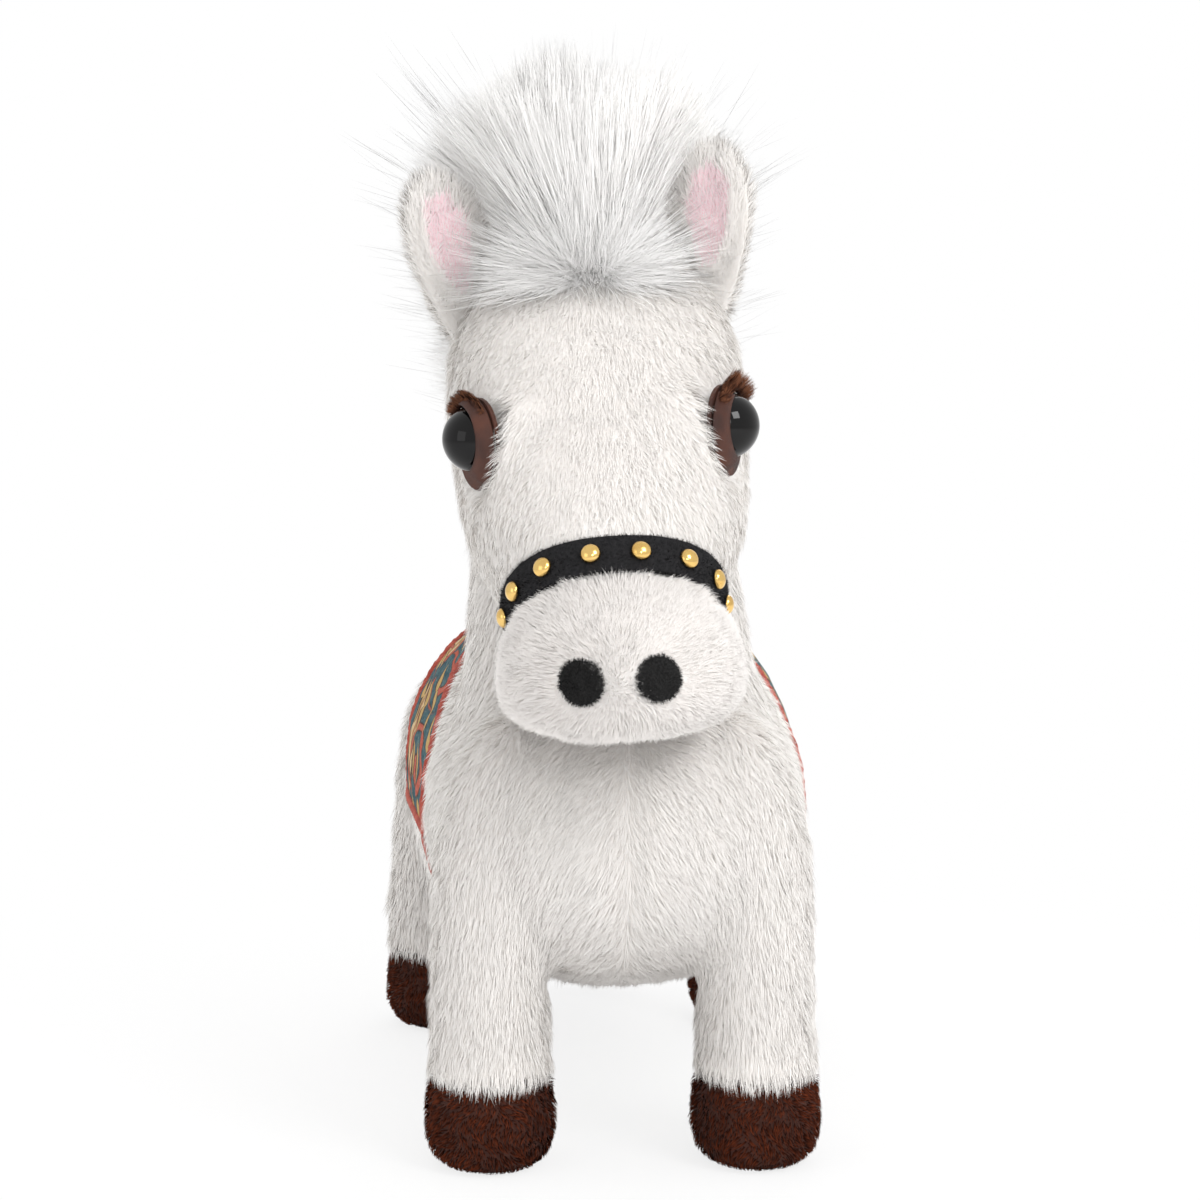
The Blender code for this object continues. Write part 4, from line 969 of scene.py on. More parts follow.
planted(
    locks,
    given,
    locks.node("GeometryNodeSetPosition", None, hairs, Position=root),
    attribute(locks, "way", "FLOAT_VECTOR"),
    locks.total(attribute(locks, "facing", "FLOAT_VECTOR"), scatter(locks, 1.1, 43)),
    locks.node("ShaderNodeCombineXYZ", None, wide, span * chance(locks, -0.6, 1.3, 53), span),
    (("tone", chance(locks, 0.0, 1.0, 59), "FLOAT"),),
)


# %% Sewing lines
def sewing_line(name, spots):
    mesh = bpy.data.meshes.new(name)
    mesh.from_pydata([tuple(s) for s in spots], [(i, i + 1) for i in range(len(spots) - 1)], [])
    return added(name, mesh)


forelock_line = sewing_line(
    "forelock_line", [poise @ Vector((x, -0.0452, 0.1358)) for x in (-0.0035, -0.001, 0.001, 0.0035)]
)
from_above = [((-0.007, shift_y + y, 0.32), (0, 0, -1)) for y in (-0.034, -0.022, -0.010)]
from_behind = [
    ((-0.007 + (z - 0.23) * -0.05, 0.15, z), (0, -1, 0)) for z in (0.222, 0.205, 0.188, 0.17, 0.152)
]
skin_tree = surface_tree(skin.data)
crest = [skin_tree.ray_cast(Vector(a), Vector(b))[0] for a, b in from_above + from_behind]
crest = [spot for spot in crest if spot]
mane_line = sewing_line("mane_line", crest)
print("crest:", [tuple(round(v * 1000, 1) for v in spot) for spot in crest])

# %% [markdown]
# The hair's mass is dense: behind the forelock nothing shows through. A core, smaller than the solid,
# carries a coat of long hairs that run away from the sewing line, and the locks stand up through it.

# %% Hair
CORE_INSET, CORE_VOXEL = -0.0050, 0.0022
COAT_LENGTH = 0.0150
COAT = {"Tufts": 3e4, "Pull": 0.24, "Lift": 0.04, "Unrest": 0.26, "Wander": 55.0}
LOCKS = {"Shortest": 0.62, "Width": 0.00019, "Root_spread": 0.003, "Tip_spread": 0.0030}


def mark_beyond(piece, mass_tree):
    """Stores how far each vertex of a piece of hair stands out of the hair's mass."""
    spots = [Vector(spot) for spot in mesh_arrays(piece.data)[0]]
    found = [mass_tree.find_nearest(spot) for spot in spots]
    out = [gap if (s - place).dot(normal) > 0 else 0 for s, (place, normal, _, gap) in zip(spots, found)]
    store(piece.data, "beyond", out)


def tree_of(places):
    """A tree that finds the nearest of some places."""
    tree = KDTree(len(places))
    for index, place in enumerate(places):
        tree.insert(place, index)
    tree.balance()
    return tree


def from_line(spots, line_piece):
    """For each spot, the direction and the distance from the nearest place of a sewing line."""
    ends = [vertex.co for vertex in line_piece.data.vertices]
    tree = tree_of([a.lerp(b, step / 12) for a, b in zip(ends, ends[1:]) for step in range(13)])
    roots = np.array([tree.find(Vector(spot))[0] for spot in spots])
    return unit(spots - roots), np.linalg.norm(spots - roots, axis=1)


def uneven(spots):
    """A slow, uneven field between about 0.6 and 1.3, which makes locks of different lengths."""
    a, b, c = (spots * (210, 170, 190)).T
    return 0.95 + 0.2 * np.sin(a + 1.7 * np.sin(c * 0.7)) + 0.17 * np.sin(b * 1.3 + a * 0.6 + 2)


both = copy_of("both", ["forelock", "mane"])
hair_mass = surface_tree(both.data)
bpy.data.objects.remove(both)
for name, line_piece, coat, spikes in (
    (
        "forelock",
        forelock_line,
        {"Density": 4.2e6, "Seed": 14, "Width": 0.00013},
        {"Density": 5.6e4, "Hairs": 14, "Seed": 5, "Spikes": 0.58},
    ),
    (
        "mane",
        mane_line,
        {"Density": 1.5e6, "Seed": 15, "Width": 0.00017},
        {"Density": 4.4e4, "Hairs": 7, "Seed": 9, "Spikes": 0.54},
    ),
):
    core = remeshed(copy_of(f"{name}_core", [name], CORE_INSET), CORE_VOXEL, 4)
    spots, _ = mesh_arrays(core.data)
    way, away = from_line(spots, line_piece)
    sow(core, way, COAT_LENGTH * ramp(away / 0.022, 0.45) * uneven(spots))
    cover(core, long_hair)
    coat = grow(f"{name}_coat", core, pile, wisp, 1.0, Finish=long_hair, **COAT, **coat)
    outline = copy_of(f"{name}_outline", [name])
    way, _ = from_line(mesh_arrays(outline.data)[0], line_piece)
    store(outline.data, "room", 0.6 + 0.8 * ramp((np.abs(way[:, 0]) - 0.3) / 0.5))
    grown = grow(
        f"{name}_locks", outline, locks, hair, 0.95, Finish=long_hair, Line=line_piece,
        **LOCKS, **spikes,
    )
    bpy.data.objects.remove(outline)
    # How far each hair stands out of the mass sets its painted shade: grey in long_hair.
    mark_beyond(grown, hair_mass)
    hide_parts(name)
    belong("horse", "long_hair", core, coat, grown)

# %% [markdown]
# At its root the forelock bursts open: fine hairs run out of the seam to all sides, over the roots of
# the ears too. Half of an egg around the seam gives these hairs their tips.

# %% Burst of hair at the seam
BURST_RIGHT, BURST_LEFT = 0.041, 0.034
BURST_DEPTH, BURST_HEIGHT = 0.013, 0.026

build = bmesh.new()
bmesh.ops.create_icosphere(build, subdivisions=4, radius=1.0)
low_part = [vertex for vertex in build.verts if vertex.co.z < -0.34 or vertex.co.y > 0.35]
bmesh.ops.delete(build, geom=low_part, context="VERTS")
for vertex in build.verts:
    x, y, z = vertex.co
    wide = BURST_RIGHT if x < 0 else BURST_LEFT
    vertex.co = poise @ Vector((x * wide, y * BURST_DEPTH - 0.0465, z * BURST_HEIGHT + 0.1362))
burst_egg = added("burst_egg", mesh_of("burst", build))
store(burst_egg.data, "room", 0.8)
burst = grow(
    "forelock_burst", burst_egg, locks, hair, 1.0, Finish=long_hair, Line=forelock_line, Seed=6,
    Density=3.0e5, Spikes=0.3, Hairs=9, Shortest=0.35, Width=0.00013, Root_spread=0.0025,
    Tip_spread=0.004,
)
bpy.data.objects.remove(burst_egg)
belong("horse", "long_hair", burst)

# %% [markdown]
# ## Ears
# Each ear is a cup of plush with a pink lining. The ear and its lining are remeshed together so that the
# pile runs over the rim, and the lining's own area grows pink fibres.

# %% Ears
LINING_INSET = 0.0013

for ear in (f"{side}_ear" for side in SIDES):
    shell = remeshed(copy_of(f"{ear}_shell", [ear, f"{ear}_lining"], 0.0002), 0.0009, 3)
    spots, _ = mesh_arrays(shell.data)
    to_lining, to_cup = (
        np.array([tree.find_nearest(Vector(s))[3] for s in spots])
        for tree in (surface_tree(nodes[name].data) for name in (f"{ear}_lining", ear))
    )
    pink = ((to_lining < to_cup) & (to_cup > 0.0012)).astype(int)
    rim = tree_of(spots[pink == 0])
    pink[np.array([rim.find(Vector(s))[2] for s in spots]) < LINING_INSET] = 0
    low, high = spots[:, 2].min(), spots[:, 2].max()
    root_spot = spots[spots[:, 2] < low + 0.006].mean(0)
    rise = (spots[:, 2] - low) / (high - low)
    grows = np.where(pink == 1, 0.0030, 0.0044) * ramp(0.7 + rise * 0.4, 0.6, 1.1)
    sow(shell, unit(spots - root_spot), grows, zone=1 + pink)
    cover(shell, skin_cloth)
    for name, number, finish, slot, strands_per_m2 in (
        (f"{ear}_pile", 1, white_pile, "white_plush", 7.0e6),
        (f"{ear}_lining_pile", 2, pink_pile, "pink_plush", 6.5e6),
    ):
        grown = grow(
            name, shell, pile, fibre, Finish=finish, Zone=number, Seed=31 + number, Lift=0.55,
            Unrest=0.7, Width=0.00014, Density=strands_per_m2, Tufts=4e5,
        )
        belong(ear, slot, grown)
    belong(ear, "white_plush", shell)
    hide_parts(ear, f"{ear}_lining")

# %% [markdown]
# ## Hooves
# The hooves are short brown plush, sewn to the legs, with flat soles. Their pile is dense and swirls.

# %% Hooves
hoof_nodes = [f"{end}_{side}_hoof" for end in ENDS for side in SIDES]
hooves = remeshed(copy_of("hooves", hoof_nodes), 0.0012, 3)
spots, _ = mesh_arrays(hooves.data)
above_sole = ramp((spots[:, 2] - 0.0006) / 0.004)
swirl = columns(np.sin(spots[:, 2] * 500 + spots[:, 0] * 260), np.cos(spots[:, 0] * 420), -0.9)
upright = read(hooves.data.vertices, "normal")
swirl = unit(swirl - upright * (swirl * upright).sum(axis=1)[:, None])
sow(hooves, swirl, 0.0022 * (0.35 + 0.65 * above_sole), above_sole > 0.02)
cover(hooves, hoof_cloth)
hoof_pile = grow(
    "hoof_pile", hooves, pile, fibre, Finish=brown_pile, Seed=77, Lift=0.7, Density=2.2e6,
    Tufts=1.6e5, Pull=0.5, Width=0.00028,
)
belong("horse", "brown_plush", hooves, hoof_pile)
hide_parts(*hoof_nodes)

# %% [markdown]
# ## Tail
# The tail hangs from its knot. It is the same hair as the mane, in layers that each start higher up, so
# its solid serves as the core and long strands lie down along it.

# %% Tail
tail_core = remeshed(copy_of("tail_core", ["tail_hair"], -0.0016), 0.0016, 3)
spots, _ = mesh_arrays(tail_core.data)
sow(tail_core, (0.0, 0.12, -1.0), ramp(spots[:, 2] - 0.004, 0.004, 0.030))
cover(tail_core, long_hair)
tail_strands = grow(
    "tail_strands", tail_core, pile, hair, 0.5, Finish=long_hair, Seed=91, Lift=0.16, Unrest=0.12,
    Density=8.0e5, Tufts=1.2e4, Pull=0.55, Width=0.00034,
)
belong("tail_hair", "long_hair", tail_core, tail_strands)
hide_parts("tail_hair")

# %% Tail knot
knot = remeshed(copy_of("knot", ["tail_knot"], -0.0003), 0.0007, 2)
spots, _ = mesh_arrays(knot.data)
sow(knot, unit(np.cross(np.array([0.15, 0.1, 1.0]), spots - spots.mean(0))), 0.0045)
cover(knot, long_hair)
knot_hair = grow(
    "knot_hair", knot, pile, hair, 0.7, Finish=long_hair, Seed=97, Lift=0.05, Unrest=0.15,
    Width=0.00028, Density=7e6, Tufts=2e5,
)
belong("tail_knot", "long_hair", knot, knot_hair)
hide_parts("tail_knot")

# %% [markdown]
# ## Eyes
# The eyes are turned domes of black plastic with a trace of brown, finer than those of the solids, at
# the same places. The patches of leatherette behind them are copies of their solids, and the washers
# are the solids themselves with a finish.


# %% Turned forms
def lathe(name, profile, segments):
    """A closed turned form from a profile of (radius, height) that starts and ends on the axis."""
    build = bmesh.new()
    turns = [2 * math.pi * step / segments for step in range(segments)]
    rings = []
    for radius, height in profile:
        angles = turns if radius else [0]
        ring = [(radius * math.cos(a), radius * math.sin(a), height) for a in angles]
        rings.append([build.verts.new(place) for place in ring])
    for low, high in zip(rings, rings[1:]):
        for a in range(segments):
            b = (a + 1) % segments
            if len(low) == 1:
                build.faces.new((low[0], high[a], high[b]))
            elif len(high) == 1:
                build.faces.new((low[a], low[b], high[0]))
            else:
                build.faces.new((low[a], low[b], high[b], high[a]))
    bmesh.ops.recalc_face_normals(build, faces=build.faces)
    mesh = mesh_of(name, build)
    mesh.shade_smooth()
    return added(name, mesh)


def flat_area(piece, thickness):
    """Area of one side of a thin piece: half of the whole, without the wall around its edge."""
    build = bmesh.new()
    build.from_mesh(piece.data)
    whole = sum(face.calc_area() for face in build.faces)
    volume = abs(build.calc_volume())
    build.free()
    return min(whole / 2, volume / thickness)


print("lathe ready")


# %% Finishes of the eyes
def eye_paint(tree):
    cloud = tree.noise(60.0)["Fac"].smooth(0.3, 0.8)
    return {
        "Base_Color": tree.mix(cloud, (0.001, 0.001, 0.0015), (0.004, 0.003, 0.0025)),
        "Roughness": tree.noise(900.0, 3.0)["Fac"].smooth(0.3, 0.9, 0.03, 0.12),
    }


def leather_paint(tree):
    grain = tree.node("ShaderNodeTexVoronoi", {"feature": "SMOOTH_F1"}, Scale=2400.0)
    worn = tree.noise(140.0, 4.0)["Fac"]
    return {
        "Base_Color": tree.mix(worn.smooth(0.3, 0.75), (0.040, 0.012, 0.007), (0.105, 0.033, 0.018)),
        "Roughness": worn.smooth(0.2, 0.8, 0.42, 0.62),
        "height": grain["Distance"],
        "bump": (0.5, 0.0002),
    }


def plastic_paint(tree):
    clouds = tree.noise(500.0)["Fac"]
    return {
        "Base_Color": tree.mix(clouds, (0.74, 0.73, 0.70), (0.82, 0.81, 0.79)),
        "Roughness": clouds.smooth(0.2, 0.8, 0.35, 0.5),
    }


eye_gloss = material("eye_gloss", eye_paint, Specular_IOR_Level=0.3)
brown_vinyl = material("brown_vinyl", leather_paint, Specular_IOR_Level=0.4)
washer_plastic = material("washer_plastic", plastic_paint)
print("finishes of the eyes ready")

# %% Domes, patches and washers
DOME_RIM = 0.0020
PATCH_THICKNESS = 0.0010

for side, eye in eye_places.items():
    seen_at = local(eye, mesh_arrays(nodes[f"{side}_eye"].data)[0])
    outside = seen_at[seen_at[:, 2] > 0.0008]
    wide, high = np.hypot(outside[:, 0], outside[:, 1]).max(), seen_at[:, 2].max()
    base, bulge = outside[:, 2].min(), high - DOME_RIM
    ball = (wide**2 + bulge**2) / (2 * bulge)
    turns = np.linspace(math.asin(min(wide / ball, 1)), 0, 15)[1:-1]
    cap = [(ball * math.sin(a), high - ball + ball * math.cos(a)) for a in turns]
    foot = [(0, base), (wide - 0.0003, base), (wide, base + 0.0003), (wide, DOME_RIM)]
    dome_piece = lathe(f"{side}_dome", [*foot, *cap, (0, high)], 48)
    dome_piece.data.transform(eye)
    cover(dome_piece, eye_gloss)
    belong("horse", "eye_gloss", dome_piece)
    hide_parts(f"{side}_eye")
    print(side, "dome:", round(wide * 2000, 1), "mm wide,", round((high - base) * 1000, 1), "mm high")
for side in SIDES:
    patch = copy_of(f"{side}_patch", [f"{side}_eye_patch"])
    cover(patch, brown_vinyl)
    belong("horse", "brown_vinyl", patch)
    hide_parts(f"{side}_eye_patch")
    area = flat_area(patch, PATCH_THICKNESS)
    for slot in nodes[f"{side}_eye_washer"].material_slots:
        slot.material = washer_plastic


# %% [markdown]
# On the nose side of each eye the leatherette is folded up into a lid, cut off square at its ends, and
# over the eye a fringe of brown plush stands for the lashes.

# %% Lids and lashes
LID_THICKNESS = 0.0007
LID_FROM_DEG, LID_TO_DEG = -64, {"left": 62, "right": 88}
LASH_LENGTHS = {"left": 0.0034, "right": 0.0018}


def strip(name, rows, thickness, finish):
    """A sheet through rows of points, given a wall of a thickness, with a UV map in metres."""
    rows = np.array(rows, float)
    count, width = rows.shape[:2]
    along = np.linalg.norm(np.diff(rows, axis=0), axis=2).mean(axis=1)
    across = np.linalg.norm(np.diff(rows, axis=1), axis=2).mean(axis=0)
    u, v = np.concatenate([[0], along.cumsum()]), np.concatenate([[0], across.cumsum()])
    quads = [
        (i * width + j, (i + 1) * width + j, (i + 1) * width + j + 1, i * width + j + 1)
        for i in range(count - 1)
        for j in range(width - 1)
    ]
    mesh = bpy.data.meshes.new(name)
    mesh.from_pydata([tuple(p) for p in rows.reshape(-1, 3)], [], quads)
    place = np.array([(u[index // width], v[index % width]) for quad in quads for index in quad])
    mesh.uv_layers.new(name="cloth").data.foreach_set("uv", place.astype(np.float32).ravel())
    mesh.shade_smooth()
    mesh.materials.append(finish)
    made = added(name, mesh)
    wall = made.modifiers.new("wall", "SOLIDIFY")
    wall.thickness, wall.offset = thickness, -1
    return settle(made)


for side, eye in eye_places.items():
    sign = NOSEWARDS[side]
    rows = []
    for angle in np.radians(np.linspace(LID_FROM_DEG, LID_TO_DEG[side], 40)):
        way = np.array([sign * math.cos(angle), math.sin(angle)])
        outer = np.array([sign * PATCH_CENTRE[0], PATCH_CENTRE[1]]) + way * (0.0100, 0.0112)
        ring = []
        for share in np.linspace(0, 1, 8):
            x, y = outer * (1 - share) + way * 0.0088 * share
            height = 0.0011 + 0.0028 * math.sin(share * math.pi / 2) ** 1.2
            ring.append(eye @ Vector((x, y, height)))
        rows.append(ring if sign < 0 else ring[::-1])
    belong("horse", "brown_vinyl", strip(f"{side}_lid", rows, LID_THICKNESS, brown_vinyl))
    lash = f"{side}_lash"
    base = remeshed(copy_of(f"{lash}_base", [lash], -0.0002), 0.0006, 1)
    seen_at = local(eye, mesh_arrays(base.data)[0])
    fan_out = columns(0.6 * seen_at[:, 0] / 0.008, seen_at[:, 1] / 0.011, 0.9)
    sow(base, turned(eye, unit(fan_out)), LASH_LENGTHS[side], seen_at[:, 2] > 0.0012)
    cover(base, brown_pile)
    hairs = grow(
        f"{lash}_hairs", base, pile, wisp, Finish=lash_pile, Seed=61, Lift=0.0, Unrest=0.4,
        Width=0.00017, Density=7e6, Tufts=5e5, Pull=0.3,
    )
    belong("horse", "brown_plush", base, hairs)
    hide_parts(lash)

# %% [markdown]
# ## Nostrils and noseband
# The nostrils are discs of black felt with frayed edges, and the noseband is a velvet ribbon. Both are
# black, so their depth comes from short fibres that catch the light, and from fibres painted darker at
# the
# root and lighter at the tip: painted shade and painted highlight.

# %% Felt and velvet
FELT_THICKNESS = 0.001


def black_cloth(name, low, high, scale):
    def paint(tree):
        threads = tree.noise(scale, 3.0)["Fac"]
        return {
            "Base_Color": tree.mix(threads.smooth(0.3, 0.75), low, high),
            "Roughness": threads.smooth(0.2, 0.8, 0.9, 1.0),
            "height": threads,
            "bump": (0.6, 0.0003),
        }

    return material(name, paint)


black_felt = black_cloth("black_felt", (0.006, 0.006, 0.006), (0.022, 0.021, 0.021), 1600.0)
black_velvet = black_cloth("black_velvet", (0.004, 0.004, 0.005), (0.016, 0.015, 0.017), 1200.0)
# Painted shade and painted highlight: these fibres are darker at the root and lighter at the tip.
felt_fibre = plush("felt_fibre", (0.006, 0.006, 0.006), (0.035, 0.034, 0.034), 0.3)
velvet_fibre = plush("velvet_fibre", (0.004, 0.004, 0.005), (0.030, 0.029, 0.032), 0.3)
for name, source, cloth, finish, slot, grows, strands_per_m2, unrest in (
    ("left_felt", "left_nostril", black_felt, felt_fibre, "black_felt", 0.0012, 1.6e7, 1.6),
    ("right_felt", "right_nostril", black_felt, felt_fibre, "black_felt", 0.0012, 1.6e7, 1.6),
    ("ribbon", "noseband", black_velvet, velvet_fibre, "black_velvet", 0.0008, 6e6, 0.5),
):
    surface = copy_of(name, [source])
    sow(surface, read(surface.data.vertices, "normal"), grows)
    cover(surface, cloth)
    nap = grow(
        f"{name}_nap", surface, pile, fibre, Finish=finish, Seed=41, Unrest=unrest, Width=0.00012,
        Density=strands_per_m2, Tufts=8e5,
    )
    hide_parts(source)
    if slot == "black_felt":
        area = flat_area(surface, FELT_THICKNESS)
    belong("horse", slot, surface, nap)

# %% [markdown]
# ## Studs
# Fourteen domed studs, 12 to 13 mm apart, are pressed through the ribbon. One turned dome is made, and a
# Geometry Nodes tree sets it on every place with the dome's axis along the place's outward direction.


# %% A tree that sets one item on many places
setting = geometry_tree("setting", Strand="Object", Finish="Material")
given = setting.node("NodeGroupInput")
outward, forward = (attribute(setting, name, "FLOAT_VECTOR") for name in ("outward", "forward"))
planted(setting, given, given["Geometry"], outward, forward, second="X")


def set_on(name, item_piece, finish, spots, outwards, forwards):
    """Sets an item on places and keeps the result as a plain mesh."""
    mesh = bpy.data.meshes.new(name)
    mesh.from_pydata([tuple(spot) for spot in spots], [], [])
    store(mesh, "outward", np.array(outwards), "FLOAT_VECTOR")
    store(mesh, "forward", np.array(forwards), "FLOAT_VECTOR")
    holder = run(added(name, mesh), setting, Strand=item_piece, Finish=finish)
    holder.data.shade_smooth()
    print(f"{name}: {len(spots)} items, {len(holder.data.polygons)} faces")
    return holder


# %% Studs
STUD_RADIUS, STUD_HEIGHT = 0.0025, 0.0021


def brass_paint(tree):
    tarnish = tree.noise(420.0, 3.0)["Fac"]
    return {
        "Base_Color": tree.mix(tarnish.smooth(0.35, 0.8), (0.86, 0.58, 0.20), (0.70, 0.42, 0.12)),
        "Roughness": tarnish.smooth(0.25, 0.85, 0.16, 0.34),
    }


stud_brass = material("stud_brass", brass_paint, Metallic=1.0)
turns = np.radians(range(0, 90, 11))
dome = [(STUD_RADIUS * math.cos(a), 0.0004 + 0.0017 * math.sin(a)) for a in turns]
foot = [(0, 0), (0.0022, 0), (STUD_RADIUS, 0.0002)]
stud = lathe("stud", [*foot, *dome, (0, STUD_HEIGHT)], 28)
stud_names = [f"stud_{number:02d}" for number in range(1, 15)]
spots, outwards = zip(*(disc_frame(name) for name in stud_names))
studs = set_on("studs", stud, stud_brass, spots, outwards, [(0, 0, 1)] * len(spots))
belong("horse", "stud_brass", studs)
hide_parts(*stud_names)

# %% [markdown]
# ## Saddle blanket
# A printed cotton cloth lies over the back. The print here is a plain invention of leaves and scrolls
# in the same colours. The cloth is a grid laid over its solid's outer face, with a UV map in metres, so
# that the print and the weave keep their scale where the cloth bends down the flanks.

# %% Print
OUTLINE, CREAM, RIB = (0.060, 0.028, 0.022), (0.68, 0.50, 0.27), (0.42, 0.20, 0.09)
CORAL, OCHRE = (0.48, 0.100, 0.062), (0.56, 0.36, 0.13)
TEAL = ((0.022, 0.080, 0.105), (0.070, 0.150, 0.160))
FULL_TURN = 6.2832


def print_paint(tree):
    uv = tree.node("ShaderNodeUVMap", {"uv_map": "cloth"})
    bend = tree.vector("SUBTRACT", tree.noise(55.0, 1.0, where=uv)["Color"], (0.5, 0.5, 0.5))
    flow = tree.total(tree.vector("MULTIPLY", uv, (1.0, 0.72, 1.0)), tree.scaled(bend, 0.011))

    def cells(scale, shift, randomness):
        """Cells of a net: the way from the middle of the cell to each place, and the cell."""
        shifted = tree.total(tree.scaled(flow, scale), shift)
        settings = {"voronoi_dimensions": "2D"}
        cell = tree.node(
            "ShaderNodeTexVoronoi", settings, Vector=shifted, Scale=1.0, Randomness=randomness
        )
        return tree.vector("SUBTRACT", shifted, cell["Position"]), cell

    def leaves(scale, wide, slim, seed):
        """Pointed leaves, one in each cell: 0 at the midrib and 1 at the edge, and more outside."""
        away, cell = cells(scale, (seed, seed * 1.7, 0), 0.8)
        turn = tree.node("ShaderNodeSeparateColor", None, cell["Color"])["Red"] * 6.28
        axis = {"rotation_type": "Z_AXIS"}
        around = tree.node("ShaderNodeVectorRotate", axis, away, None, None, turn)
        parts = tree.node("ShaderNodeSeparateXYZ", None, around)
        long_way, short_way = parts["X"] / wide, parts["Y"] / slim
        room = parts.maths("MAXIMUM", 1 - long_way * long_way, 0.001)
        return abs(short_way) / room, parts["Y"]

    def scrolls(scale, seed):
        """A spiral in each cell: the distance from its line."""
        away, _ = cells(scale, (seed, seed * 1.3, 0), 0.7)
        parts = tree.node("ShaderNodeSeparateXYZ", None, away)
        angle = parts.maths("ARCTAN2", parts["Y"], parts["X"])
        radius = tree.vector("LENGTH", away)
        winding = radius * 3.0 - angle / FULL_TURN
        return abs(winding - winding.maths("ROUND", winding)), radius

    def share(value, limit, blur):
        return value.smooth(limit - blur, limit + blur, 1.0, 0.0)

    colour = tree.mix(tree.noise(260.0, 3.0, where=uv)["Fac"].smooth(0.35, 0.7), *TEAL)
    edge, rib = leaves(46.0, 0.52, 0.23, 3.1)
    colour = tree.mix(share(edge, 1.4, 0.12), colour, OUTLINE)
    fill = tree.mix(share(abs(rib), 0.035, 0.02), CREAM, RIB)
    colour = tree.mix(share(edge, 0.85, 0.10), colour, fill)
    near, radius = scrolls(34.0, 7.7)
    inside = share(radius, 0.46, 0.03)
    colour = tree.mix(share(near, 0.20, 0.03) * inside, colour, OUTLINE)
    colour = tree.mix(share(near, 0.13, 0.03) * inside, colour, CORAL)
    edge, rib = leaves(84.0, 0.42, 0.19, 11.3)
    colour = tree.mix(share(edge, 1.2, 0.15), colour, OUTLINE)
    colour = tree.mix(share(edge, 0.75, 0.12), colour, OCHRE)
    parts = tree.node("ShaderNodeSeparateXYZ", None, tree.scaled(uv, 2900.0))
    weave = abs(parts["X"].sine()) + abs(parts["Y"].sine())
    # Painted shade: the low places of the weave, between the threads, are darkened.
    colour = tree.mix(weave.smooth(0.3, 1.6, 0.22, 0.0), colour, (0.02, 0.018, 0.016))
    faded = tree.noise(900.0, where=uv)["Fac"].smooth(0.45, 0.8, 0.0, 0.22)
    colour = tree.mix(faded, colour, (0.62, 0.55, 0.45))
    return {"Base_Color": colour, "height": weave, "bump": (0.35, 0.00012)}


blanket_cloth = material("blanket_cloth", print_paint, Roughness=0.9, Specular_IOR_Level=0.2)
print("print:", len(blanket_cloth.node_tree.nodes), "nodes")

# %% Cloth
ARC_DEG = 98
FRONT_ON_BACK, FRONT_ON_FLANK = 0.036, -0.020
TURN_FROM, TURN_TO = 0.36, 0.78
CORNER = 12 / ARC_DEG
CORNER_RADIUS = 0.014
TRUNK_HEIGHT = 0.083
CLOTH_THICKNESS = 0.0010
CLOTH_END = 0.994


def blanket_span(share):
    """Front and rear edge of the cloth at a share of the arc from the ridge down to its lower edge."""
    turn_share = min(max((abs(share) - TURN_FROM) / (TURN_TO - TURN_FROM), 0), 1)
    front = FRONT_ON_BACK + (FRONT_ON_FLANK - FRONT_ON_BACK) * turn_share**2 * (3 - 2 * turn_share)
    past = min(max(abs(share) - (1 - CORNER), 0) / CORNER, 1)
    rear = BLANKET_REAR - CORNER_RADIUS * (1 - math.sqrt(1 - past**2))
    return front + shift_y, rear + shift_y


def laid(share, y, above=0.0):
    """A place on the outer face of the cloth, and the way out of the trunk there."""
    around = math.radians(90 - share * ARC_DEG)
    out = Vector((math.cos(around), 0, math.sin(around)))
    front, rear = blanket_span(share)
    inner = min(max(y, front + 0.0008), rear - 0.0008)
    start = Vector((0, inner, TRUNK_HEIGHT)) + out * 0.15
    hit = trees["saddle_blanket"].ray_cast(start, -out)[0]
    if hit is None:
        return laid(share * 0.995, y, above)
    return Vector((hit.x, y, hit.z)) + out * above, out


rows = []
for share in np.linspace(-1, 1, 141):
    front, rear = blanket_span(share * CLOTH_END)
    row = []
    for step in np.linspace(0, 1, 61):
        y = front + (rear - front) * step
        ripple = 0.00022 * math.sin(y * 410 + share * 9) * math.sin(share * 17 + 1.3)
        row.append(laid(share * CLOTH_END, y, ripple - 0.0004)[0])
    rows.append(row)
sides = np.array(rows)
first = np.cross(sides[1:, :-1] - sides[:-1, :-1], sides[:-1, 1:] - sides[:-1, :-1])
second = np.cross(sides[1:, 1:] - sides[1:, :-1], sides[1:, 1:] - sides[:-1, 1:])
area = float(np.linalg.norm(first, axis=2).sum() + np.linalg.norm(second, axis=2).sum()) / 2
arc = float(np.linalg.norm(np.diff(sides[:, 45], axis=0), axis=1).sum())
deep = float(np.ptp(sides[:, :, 1]))
blanket = strip("blanket", rows, CLOTH_THICKNESS, blanket_cloth)
belong("horse", "blanket_cloth", blanket)
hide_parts("saddle_blanket")
print(f"blanket: {arc * 1000:.0f} x {deep * 1000:.0f} mm, {area * 1e4:.0f} cm2")

# %% [markdown]
# A strip of coral cloth is folded over the edge of the blanket and stitched down. It is swept along the
# outline, and at the lower front corner of one side its end hangs free.


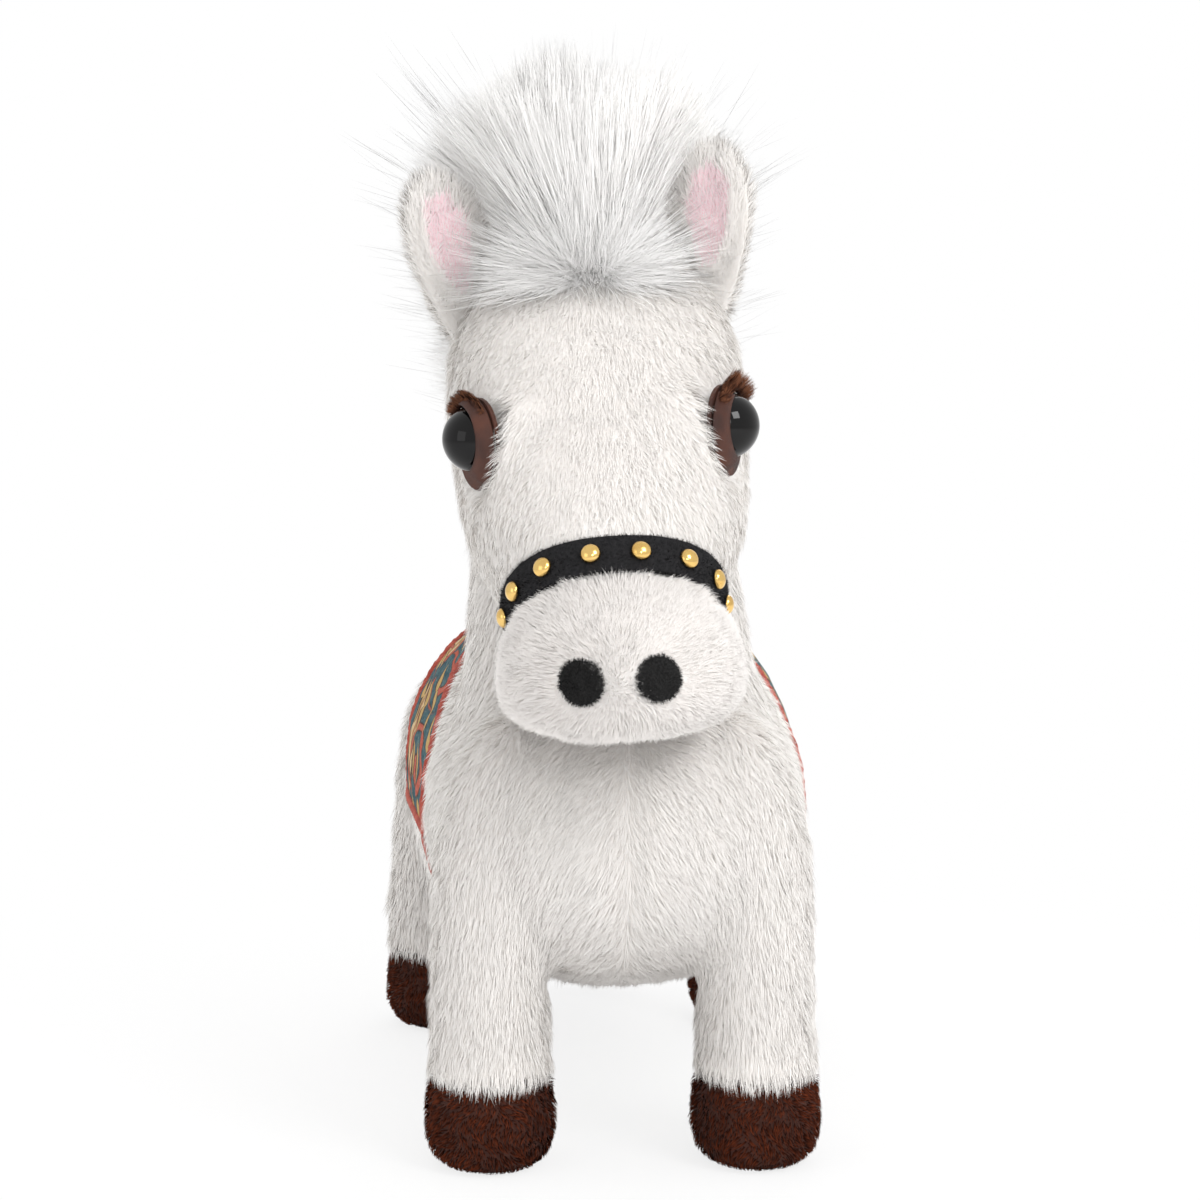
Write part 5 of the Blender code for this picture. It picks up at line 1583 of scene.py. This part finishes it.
# %% Piping
def piping_paint(tree):
    uv = tree.node("ShaderNodeUVMap", {"uv_map": "cloth"})
    parts = tree.node("ShaderNodeSeparateXYZ", None, tree.scaled(uv, 3600.0))
    twill = (parts["X"] + parts["Y"] * 1.5).sine()
    worn = tree.noise(260.0, 3.0)["Fac"].smooth(0.3, 0.75)
    colour = tree.mix(worn, (0.42, 0.075, 0.055), (0.62, 0.160, 0.115))
    # Painted shade: the low places of the twill are darkened.
    colour = tree.mix(twill.smooth(-1, 1, 0.25, 0.0), colour, (0.16, 0.03, 0.025))
    return {"Base_Color": colour, "height": twill, "bump": (0.4, 0.00015)}


piping_cloth = material("piping_cloth", piping_paint, Roughness=0.85, Specular_IOR_Level=0.2)
thread = mottled("thread", 1500.0, (0.30, 0.045, 0.035), (0.50, 0.11, 0.08), Roughness=0.7)


def swept(name, spots, outs, half_wide, half_high, closed):
    """A cord of oval section through places, closed into a ring or with rounded ends."""
    corners = 12
    spots, outs = np.array(spots, float), np.array(outs, float)
    after, before = np.roll(spots, -1, axis=0), np.roll(spots, 1, axis=0)
    swell = np.ones(len(spots))
    if not closed:
        after[-1], before[0] = spots[-1], spots[0]
        steps = np.minimum(np.arange(len(spots)), np.arange(len(spots))[::-1])
        swell = ramp(0.35 + steps * 0.4)
    along = unit(after - before)
    across = unit(np.cross(along, outs))
    up = np.cross(across, along)
    turns = [2 * math.pi * step / corners for step in range(corners)]
    build = bmesh.new()
    rings = [
        [
            build.verts.new(spot + (a * math.cos(t) * half_wide + b * math.sin(t) * half_high) * grown)
            for t in turns
        ]
        for spot, a, b, grown in zip(spots, across, up, swell)
    ]
    layer = build.loops.layers.uv.new("cloth")
    far = np.concatenate([[0], np.linalg.norm(np.diff(spots, axis=0), axis=1).cumsum()])
    step_round = math.pi * (half_wide + half_high) / corners
    for index in range(len(rings) if closed else len(rings) - 1):
        ring, following = rings[index], rings[(index + 1) % len(rings)]
        u_start = far[index]
        u_end = far[index + 1] if index + 1 < len(far) else far[index] + (far[1] - far[0])
        for j in range(corners):
            k = (j + 1) % corners
            face = build.faces.new((ring[j], following[j], following[k], ring[k]))
            places_uv = ((u_start, j), (u_end, j), (u_end, j + 1), (u_start, j + 1))
            for loop, (u, v) in zip(face.loops, places_uv):
                loop[layer].uv = (u, v * step_round)
    if not closed:
        build.faces.new(rings[0])
        build.faces.new(rings[-1])
    bmesh.ops.recalc_face_normals(build, faces=build.faces)
    mesh = mesh_of(name, build)
    mesh.shade_smooth()
    mesh.materials.append(piping_cloth)
    return added(name, mesh)


front_low, rear_low = blanket_span(CLOTH_END)
outline = [(share, blanket_span(share)[0]) for share in np.linspace(-CLOTH_END, CLOTH_END, 150)]
outline += [(CLOTH_END, y) for y in np.linspace(front_low, rear_low, 40)[1:-1]]
outline += [(share, blanket_span(share)[1]) for share in np.linspace(CLOTH_END, -CLOTH_END, 130)]
outline += [(-CLOTH_END, y) for y in np.linspace(rear_low, front_low, 40)[1:-1]]
laid_out = [laid(share, y, -0.0006) for share, y in outline]
piping = swept("piping", *zip(*laid_out), 0.00135, 0.00125, True)
corner, out = laid(-CLOTH_END, front_low, 0.0006)
hang = [(0.0006 * t, -0.0015 * t, -0.0016 * t - 0.00008 * t * t) for t in np.linspace(0, 5, 12)]
loose = [corner + Vector(step) for step in hang]
loose_end = swept("piping_end", loose, [out] * len(loose), 0.0012, 0.0006, False)
print("piping through", len(laid_out), "places")

# %% Stitches
STITCH_STEP = 0.0028

profile = [(0, -0.0009), (0.00016, -0.0006), (0.0002, 0), (0.00016, 0.0006), (0, 0.0009)]
stitch = lathe("stitch", profile, 6)
stitch.data.transform(Matrix.Rotation(math.radians(90), 4, "Y"))
sewn_at = []
walked = 0.0
for (spot, out), (following, _) in zip(laid_out, laid_out[1:]):
    walked += (following - spot).length
    if walked > STITCH_STEP:
        walked = 0.0
        sewn_at.append((spot + out * 0.0012, out, (following - spot).normalized()))
stitches = set_on("stitches", stitch, thread, *zip(*sewn_at))
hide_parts("blanket_piping")
belong("horse", "piping_cloth", piping, loose_end, stitches)

# %% Removing the templates, and the end
for piece in (fibre, wisp, hair, forelock_line, mane_line, stud, stitch):
    bpy.data.objects.remove(piece)
